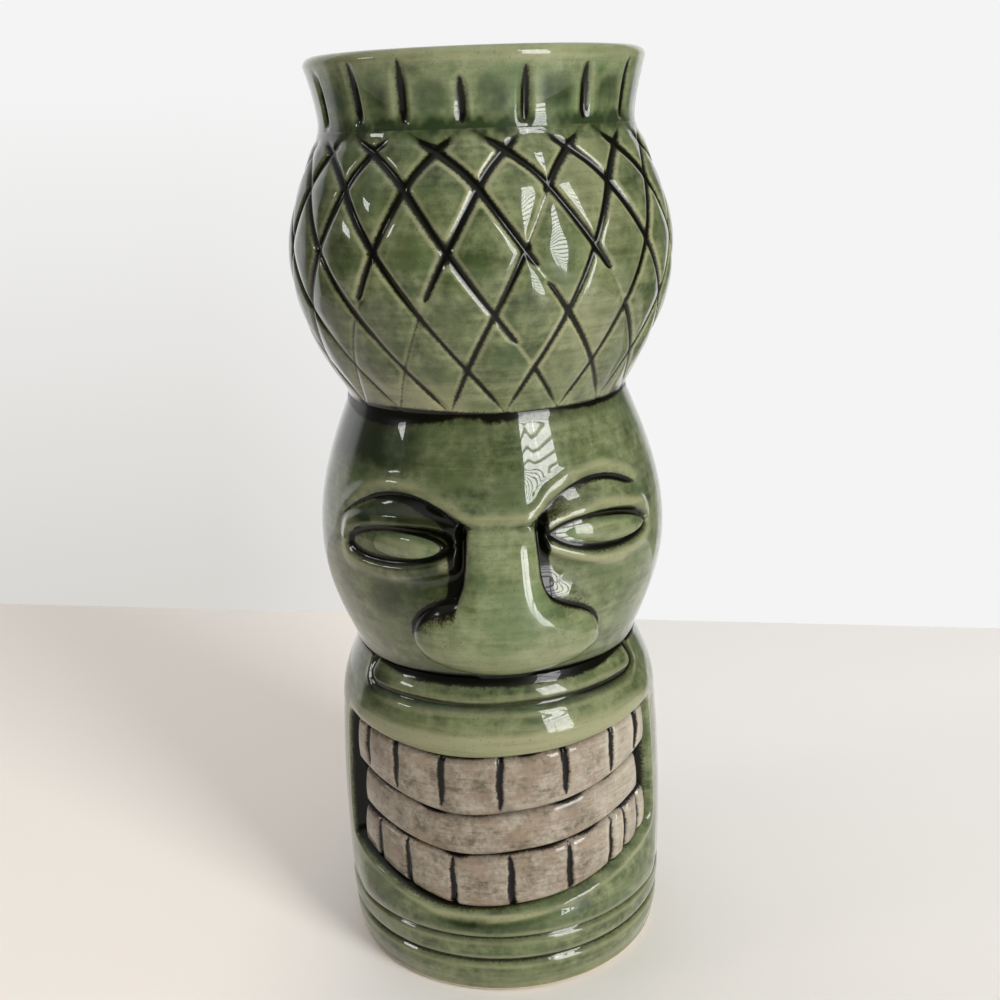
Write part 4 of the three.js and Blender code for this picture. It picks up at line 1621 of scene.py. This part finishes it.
@dataclass
class Painter:
    """Adds the nodes that mix the colours and grey values of one tree."""

    tree: bpy.types.NodeTree
    place: Socket
    tilt: float = 0.0

    def noise(self, size: tuple[float, float, float], detail: float) -> Socket:
        """Noise whose grain has the given size in millimetres along each axis.

        Args:
            size: The grain's size along X, Y and Z.
            detail: How many finer layers it has.

        Returns:
            The noise, mostly from 0.3 to 0.7.
        """
        scale = [1 / (side * MM) for side in size]
        lean = (0, math.radians(self.tilt), 0)
        inputs = {"Vector": self.place, "Scale": scale, "Rotation": lean}
        spaced = add_node(self.tree, "ShaderNodeMapping", None, inputs).outputs["Vector"]
        inputs = {"Vector": spaced, "Scale": 1.0, "Detail": detail, "Roughness": 0.6}
        return add_node(self.tree, "ShaderNodeTexNoise", None, inputs).outputs["Fac"]

    def split(self) -> list[Socket]:
        """The three coordinates of the tree's place."""
        return list(add_node(self.tree, "ShaderNodeSeparateXYZ", None, {0: self.place}).outputs)

    def worked(self, operation: str, *values: Socket | float) -> Socket:
        """Result of one sum on grey values, such as ADD or MULTIPLY_ADD."""
        settings = {"operation": operation}
        return add_node(self.tree, "ShaderNodeMath", settings, dict(enumerate(values))).outputs[0]

    def ranged(self, *values: Socket | float, way: str = "LINEAR") -> Socket:
        """Maps a grey value: the value, low and high, and what those two become, else 0 and 1."""
        settings = {"interpolation_type": way}
        return add_node(self.tree, "ShaderNodeMapRange", settings, dict(enumerate(values))).outputs[0]

    def eased(self, value: Socket, low: float, high: float) -> Socket:
        """Eases a grey value from 0 at low to 1 at high."""
        return self.ranged(value, low, high, way="SMOOTHSTEP")

    def broken(self, mark: Socket, grain: Socket, amount: float) -> Socket:
        """A mark whose edge is broken up by grain: the mark plus the grain's swing times the amount."""
        return self.worked("ADD", mark, self.worked("MULTIPLY_ADD", grain, amount, -amount / 2))

    def covered(self, under: Socket | str, mask: Socket, tint: Socket | str) -> Socket:
        """Lays a tint over a colour where the mask is 1.

        Args:
            under: The colour, as a socket or in hex.
            mask: Grey value of the tint's share.
            tint: The tint, as a socket or in hex.

        Returns:
            The mixed colour.
        """
        under, tint = (linear(colour) if isinstance(colour, str) else colour for colour in (under, tint))
        inputs = {0: mask, 6: under, 7: tint}
        return add_node(self.tree, "ShaderNodeMix", {"data_type": "RGBA"}, inputs).outputs[2]

    def bumped(self, height: Socket, strength: float, distance: float) -> Socket:
        """Normals of a surface that a grey value raises by up to a distance in metres."""
        inputs = {"Strength": strength, "Distance": distance, "Height": height}
        return add_node(self.tree, "ShaderNodeBump", None, inputs).outputs["Normal"]

    def finished(self, inputs: dict[str, object]) -> None:
        """Ends a material's tree with one shader of these inputs."""
        shader = add_node(self.tree, "ShaderNodeBsdfPrincipled", None, inputs)
        add_node(self.tree, "ShaderNodeOutputMaterial", None, {"Surface": shader.outputs["BSDF"]})


@dataclass(frozen=True)
class BrushedGlaze:
    """Glossy clear glaze over an underglaze brushed round the pot, wiped back to leave dark lines.

    The glaze is glass, so it shows sharp reflections. It is thin and tan on edges, and dark where it pools;
    the same dark mark also carries painted shade on parts of the crown, head, nose and eyes.
    """

    name: str
    light: str
    middle: str
    dark: str
    edge: str
    pool: str
    tint: str
    ink: str = "#070801"
    fringe: str = "#2b2912"
    streak_length: float = 19.0
    streak_height: float = 1.5
    patch: float = 9.0
    mottle: float = 2.6
    speckle: float = 0.55
    tilt: float = 0.0
    cloud: float = 13.0
    ripple: float = 5.0
    tones: tuple[float, float, float] = (0.39, 0.49, 0.6)
    edge_range: Span = (0.1, 0.9)
    pool_range: Span = (0.1, 1.0)
    tint_range: Span = (0.48, 0.66)
    tint_share: float = 0.6
    freckle_range: Span = (0.6, 0.7)
    freckle_share: float = 0.45
    fringe_range: Span = (0.27, 0.55)
    fringe_grain: float = 0.6
    ink_range: Span = (0.42, 0.64)
    ink_grain: float = 0.2
    coat_lost_on_ink: float = 0.55

    def colours(self, painter: Painter, streaks: Socket, patches: Socket, mottle: Socket) -> Socket:
        """Spreads the glaze's three tones over its brush marks.

        Args:
            painter: The painter of its tree.
            streaks: Noise of the brush's streaks.
            patches: Noise of its patches.
            mottle: Noise within them.

        Returns:
            The colour before the marks are laid over it.
        """
        tone = painter.worked("MULTIPLY_ADD", patches, 1.3, mottle)
        tone = painter.worked("DIVIDE", painter.worked("MULTIPLY_ADD", streaks, 0.6, tone), 2.9)
        spread = add_node(painter.tree, "ShaderNodeValToRGB", None, {"Fac": tone})
        ramp = spread.color_ramp
        dark, middle, light = self.tones
        ramp.elements[0].position, ramp.elements[0].color = dark, linear(self.dark)
        ramp.elements[1].position, ramp.elements[1].color = light, linear(self.light)
        ramp.elements.new(middle).color = linear(self.middle)
        return spread.outputs["Color"]

    def material(self) -> bpy.types.Material:
        """Builds the glaze's node tree.

        Returns:
            The material.
        """
        material, tree = new_tree(self.name)
        painter = Painter(tree, add_node(tree, "ShaderNodeTexCoord").outputs["Object"], self.tilt)
        ink, thin, deep = (
            add_node(tree, "ShaderNodeAttribute", {"attribute_name": mark}).outputs["Fac"]
            for mark in MARKS
        )
        streaks = painter.noise((self.streak_length, self.streak_length, self.streak_height), 4.0)
        patches = painter.noise((self.patch,) * 3, 3.0)
        mottle = painter.noise((self.mottle,) * 3, 4.0)
        grain = painter.noise((self.speckle,) * 3, 3.0)
        clouds = painter.noise((self.cloud, self.cloud, self.cloud * 0.6), 2.0)
        paint = self.colours(painter, streaks, patches, mottle)
        thin = painter.worked("MULTIPLY", thin, painter.worked("ADD", streaks, 0.5))
        deep = painter.worked("MULTIPLY", deep, painter.worked("MULTIPLY_ADD", patches, 2.4, -0.2))
        tinted = painter.worked("MULTIPLY", painter.eased(clouds, *self.tint_range), self.tint_share)
        freckles = painter.worked("MULTIPLY", painter.eased(grain, *self.freckle_range), self.freckle_share)
        fringe = painter.eased(painter.broken(ink, grain, self.fringe_grain), *self.fringe_range)
        black = painter.eased(painter.broken(ink, grain, self.ink_grain), *self.ink_range)
        for mask, tint in (
            (tinted, self.tint), (painter.eased(thin, *self.edge_range), self.edge),
            # The deep mark tints towards the pool colour: pooled glaze, and on some pieces painted shade as
            # well.
            (painter.eased(deep, *self.pool_range), self.pool), (freckles, self.pool),
            (fringe, self.fringe), (black, self.ink),
        ):
            paint = painter.covered(paint, mask, tint)
        coat = painter.worked("MULTIPLY_ADD", black, -self.coat_lost_on_ink, 1.0)
        normal = painter.bumped(painter.noise((self.ripple,) * 3, 2.0), 0.25, 0.0002)
        painter.finished({
            "Base Color": paint, "Roughness": 0.3, "IOR": 1.5, "Specular IOR Level": 0.1,
            "Coat Weight": coat, "Coat Roughness": 0.02, "Coat IOR": 1.4, "Normal": normal,
        })
        return material


# Cloudy olive green that wraps most of the vase: darker where the brush left more, tan where wiped.
GREEN = BrushedGlaze(
    "green_glazed_earthenware", light="#767d59", middle="#596140", dark="#344023",
    edge="#8c8c69", pool="#1f2a11", tint="#4b5a35",
)
# The same green, thinner and greyer, on what stands proud: the nose, the eyes and the collar.
PALE = BrushedGlaze(
    "pale_green_glazed_earthenware", light="#7b8461", middle="#656f4b", dark="#465333",
    edge="#93936f", pool="#28351b", tint="#52663f", fringe="#332d16",
)
# Taupe wash in short slanted strokes on the teeth and the tongue: warm and bony beside the green.
TAUPE = BrushedGlaze(
    "taupe_washed_glazed_earthenware", light="#a3998a", middle="#877c6b", dark="#625848",
    edge="#b0a895", pool="#54483c", tint="#887460", ink="#0c0a08", fringe="#33291f",
    streak_length=6.0, streak_height=0.6, patch=6.0, mottle=1.4, tilt=28.0, cloud=8.0,
)


@dataclass(frozen=True)
class DryClay:
    """Fired clay without glaze, wiped clean so that the pot doesn't stick: matt, pale and sandy."""

    name: str = "dry_fired_clay"
    light: str = "#d9ccb4"
    dark: str = "#bba98a"
    grit: float = 0.6

    def material(self) -> bpy.types.Material:
        """Builds the clay's node tree.

        Returns:
            The material.
        """
        material, tree = new_tree(self.name)
        painter = Painter(tree, add_node(tree, "ShaderNodeTexCoord").outputs["Object"])
        inputs = {"Vector": painter.place, "Scale": 1 / (self.grit * MM), "Detail": 4.0}
        grit = add_node(tree, "ShaderNodeTexNoise", None, inputs).outputs["Fac"]
        paint = painter.covered(self.dark, grit, self.light)
        normal = painter.bumped(grit, 0.5, 0.0001)
        painter.finished({"Base Color": paint, "Roughness": 0.85, "Normal": normal})
        return material


@dataclass
class Studio:
    """The table, the lamps, the world and the camera.

    The table's sizes and the camera's place are in millimetres, the lamps' and the clips in metres.
    """

    lens: float = 45.0
    distance: float = 311.22
    camera_height: float = 216.80
    azimuth: float = -2.5
    heading: float = 0.413
    pitch: float = 17.29
    roll: float = -2.169
    table_edge: float = 207.3
    table_turn: float = -12.1
    table_side: float = 700.0
    table_front: float = 1100.0
    window_glow: float = 14.0
    window_level: float = 15.0
    window_height: float = 0.9
    slats: int = 21
    room_behind: float = 1.0
    room_above: float = 0.92
    room_before: float = 0.09
    middle_height: float = 0.115
    sensor: float = 36.0
    clips: Span = (0.01, 20.0)
    table_drop: float = 0.05
    panes: tuple[Span, ...] = ((31.0, 5.5), (40.5, 12.5))
    pane_reach: float = 1.0
    far_pane: tuple[float, float, float] = (-78.0, 25.0, 1.2)
    far_pane_size: Span = (0.22, 0.12)
    slat_edge: Span = (0.22, 0.34)
    slat_glow: Span = (0.12, 1.25)

    def place_camera(self) -> None:
        """Places the camera where the photograph was taken from."""
        data = bpy.data.cameras.new("camera")
        data.lens, data.sensor_width = self.lens, self.sensor
        data.clip_start, data.clip_end = self.clips
        camera = bpy.data.objects.new("camera", data)
        turn = math.radians(self.azimuth)
        spot = Vector((math.sin(turn), -math.cos(turn), 0)) * self.distance * MM
        spot.z = self.camera_height * MM
        look = Matrix.Rotation(turn - math.radians(self.heading), 4, "Z")
        look = look @ Matrix.Rotation(math.radians(90 - self.pitch), 4, "X")
        look = look @ Matrix.Rotation(math.radians(self.roll), 4, "Z")
        camera.matrix_world = Matrix.Translation(spot) @ look
        bpy.context.scene.collection.objects.link(camera)
        bpy.context.scene.camera = camera

    def lay_table(self) -> None:
        """Lays the pale table, whose far edge shows behind the vase; its colour carries painted light and
        shade.
        """
        maker = bmesh.new()
        bmesh.ops.create_grid(maker, x_segments=1, y_segments=1, size=0.5)
        deep = self.table_front + self.table_edge
        bmesh.ops.scale(maker, vec=(2 * self.table_side * MM, deep * MM, 1), verts=maker.verts)
        middle = (self.table_edge - self.table_front) / 2 * MM
        bmesh.ops.translate(maker, vec=(0, middle, -self.table_drop * MM), verts=maker.verts)
        turn = Matrix.Rotation(math.radians(self.table_turn), 3, "Z")
        bmesh.ops.rotate(maker, cent=(0, 0, 0), matrix=turn, verts=maker.verts)
        table = to_object(maker, "table")
        material, tree = new_tree("matt_white_laminate")
        painter = Painter(tree, add_node(tree, "ShaderNodeTexCoord").outputs["Object"])
        inputs = {"Vector": painter.place, "Scale": 5.0}
        cloud = add_node(tree, "ShaderNodeTexNoise", None, inputs).outputs["Fac"]
        x, y, _ = painter.split()
        # Painted light: the table is painted darker towards the front and lighter towards the back, and
        # lighter and warmer at the left, where the vase's shadow falls.
        aside = painter.worked("MULTIPLY_ADD", cloud, 0.03, painter.worked("MULTIPLY_ADD", y, -0.3, x))
        plain = painter.covered("#e6e2db", painter.ranged(y, -0.11, 0.12), "#f7f3ee")
        paint = painter.covered("#fdf4ea", painter.ranged(aside, -0.06, 0.0), plain)
        painter.finished({"Base Color": paint, "Roughness": 0.55})
        table.data.materials.append(material)

    def hang_panel(self, name: str, azimuth: float, elevation: float, reach: float, size: Span) -> None:
        """Hangs a soft panel lamp that faces the vase.

        Args:
            name: The lamp's name.
            azimuth: Degrees from straight in front of the face, towards the viewer's right.
            elevation: Degrees above the vase's middle.
            reach: Distance from the vase's middle, in metres.
            size: Width and height of the panel, in metres.
        """
        lamp = bpy.data.lights.new(name, "AREA")
        lamp.shape, lamp.size, lamp.size_y = "RECTANGLE", *size
        lamp.energy = self.window_glow * math.pi * size[0] * size[1]
        self.hang_blind(lamp)
        holder = bpy.data.objects.new(name, lamp)
        side, up = math.radians(azimuth), math.radians(elevation)
        way = Vector((math.sin(side) * math.cos(up), -math.cos(side) * math.cos(up), math.sin(up)))
        holder.location = Vector((0, 0, self.middle_height)) + way * reach
        holder.rotation_euler = (-way).to_track_quat("-Z", "Y").to_euler()
        bpy.context.scene.collection.objects.link(holder)

    def hang_blind(self, lamp: bpy.types.AreaLight) -> None:
        """Hangs a slatted blind before a lamp, whose dark lines show in the reflections.

        Args:
            lamp: The lamp, which gets a node tree.
        """
        lamp.use_nodes = True
        tree = lamp.node_tree
        tree.nodes.clear()
        painter = Painter(tree, add_node(tree, "ShaderNodeNewGeometry").outputs["Parametric"])
        share = painter.worked("FRACT", painter.worked("MULTIPLY", painter.split()[1], float(self.slats)))
        glow = painter.ranged(share, *self.slat_edge, *self.slat_glow)
        light = add_node(tree, "ShaderNodeEmission", None, {"Strength": glow})
        add_node(tree, "ShaderNodeOutputLight", None, {"Surface": light.outputs[0]})

    def light(self) -> None:
        """Hangs a tall window of two panes at the right and a small far one at the left."""
        for azimuth, width in self.panes:
            size = 2 * self.pane_reach * math.tan(math.radians(width / 2)), self.window_height
            self.hang_panel(f"window_{azimuth:.0f}", azimuth, self.window_level, self.pane_reach, size)
        self.hang_panel("far_window", *self.far_pane, self.far_pane_size)

    def paint_world(self) -> None:
        """Paints a white room behind the vase and a dimmer one before it."""
        world = bpy.data.worlds.new("room")
        bpy.context.scene.world = world
        world.use_nodes = True
        tree = world.node_tree
        tree.nodes.clear()
        painter = Painter(tree, add_node(tree, "ShaderNodeTexCoord").outputs["Generated"])
        x, y, z = painter.split()
        behind = painter.ranged(painter.worked("MULTIPLY_ADD", x, -0.2, y), 0.6, 0.68)
        glow = painter.ranged(z, 0.45, 0.95, self.room_before, self.room_above)
        glow = painter.ranged(behind, 0.0, 1.0, glow, self.room_behind)
        room = add_node(tree, "ShaderNodeBackground", None, {"Color": linear("#fafafa"), "Strength": glow})
        shade = painter.worked("MULTIPLY", painter.ranged(x, 0.12, -0.17), painter.ranged(z, 0.03, -0.34))
        wall = painter.covered("#f4f4f4", shade, "#d8d6d2")
        white = add_node(tree, "ShaderNodeBackground", None, {"Color": wall, "Strength": 1.0})
        path = add_node(tree, "ShaderNodeLightPath")
        seen = {0: path.outputs["Is Camera Ray"], 1: room.outputs[0], 2: white.outputs[0]}
        both = add_node(tree, "ShaderNodeMixShader", None, seen)
        add_node(tree, "ShaderNodeOutputWorld", None, {"Surface": both.outputs[0]})


def bands_of_teeth() -> tuple[Teeth, ...]:
    """Lists the bands in the mouth.

    Returns:
        The lower teeth, the tongue and the upper teeth.
    """
    low, tongue, bite, high = SMILE.lower_lip, SMILE.tongue, SMILE.bite, SMILE.upper_lip
    return (
        Teeth("lower_teeth_glazed", ("lower_teeth",), low_line=low, high_line=tongue,
              edges=(-54.0, -39.5, -21.5, -0.8, 20.6, 39.0, 46.6, 55.2), stroke=(0.0, 0.97), proud=41.0,
              ends=(2.6, 0.5), point_up=True, fan_from=35.0, seed=2),
        Teeth("tongue_glazed", ("tongue",), low_line=tongue, high_line=bite, proud=40.7,
              ends=(3.9, 4.0), seed=3),
        Teeth("upper_teeth_glazed", ("upper_teeth",), low_line=bite, high_line=high,
              edges=(-57.2, -42.2, -23.9, -3.5, 19.5, 39.0, 53.2), stroke=(0.1, 1.0), proud=41.3,
              seam=0.05, seed=4),
    )


def main() -> None:
    """Builds the studio and the vase, piece by piece from the foot up."""
    logging.basicConfig(level=logging.INFO, format="%(message)s")
    studio = Studio()
    studio.place_camera()
    studio.lay_table()
    studio.light()
    studio.paint_world()
    bpy.context.scene.view_settings.view_transform = "Standard"

    green, pale, taupe = (finish.material() for finish in (GREEN, PALE, TAUPE))
    eyes = Eye("left_eye_glazed", ("left_eye",), side=-1), Eye("right_eye_glazed", ("right_eye",), side=1)
    dressed = (
        (green, (Foot(), Mouth())), (taupe, bands_of_teeth()), (green, (Head(),)), (pale, (Nose(), *eyes)),
        (green, (Crown(),)), (pale, (Collar(),)),
    )
    for finish, pieces in dressed:
        for piece in pieces:
            piece.dress(piece.build(), finish)


if __name__ == "__main__":
    main()
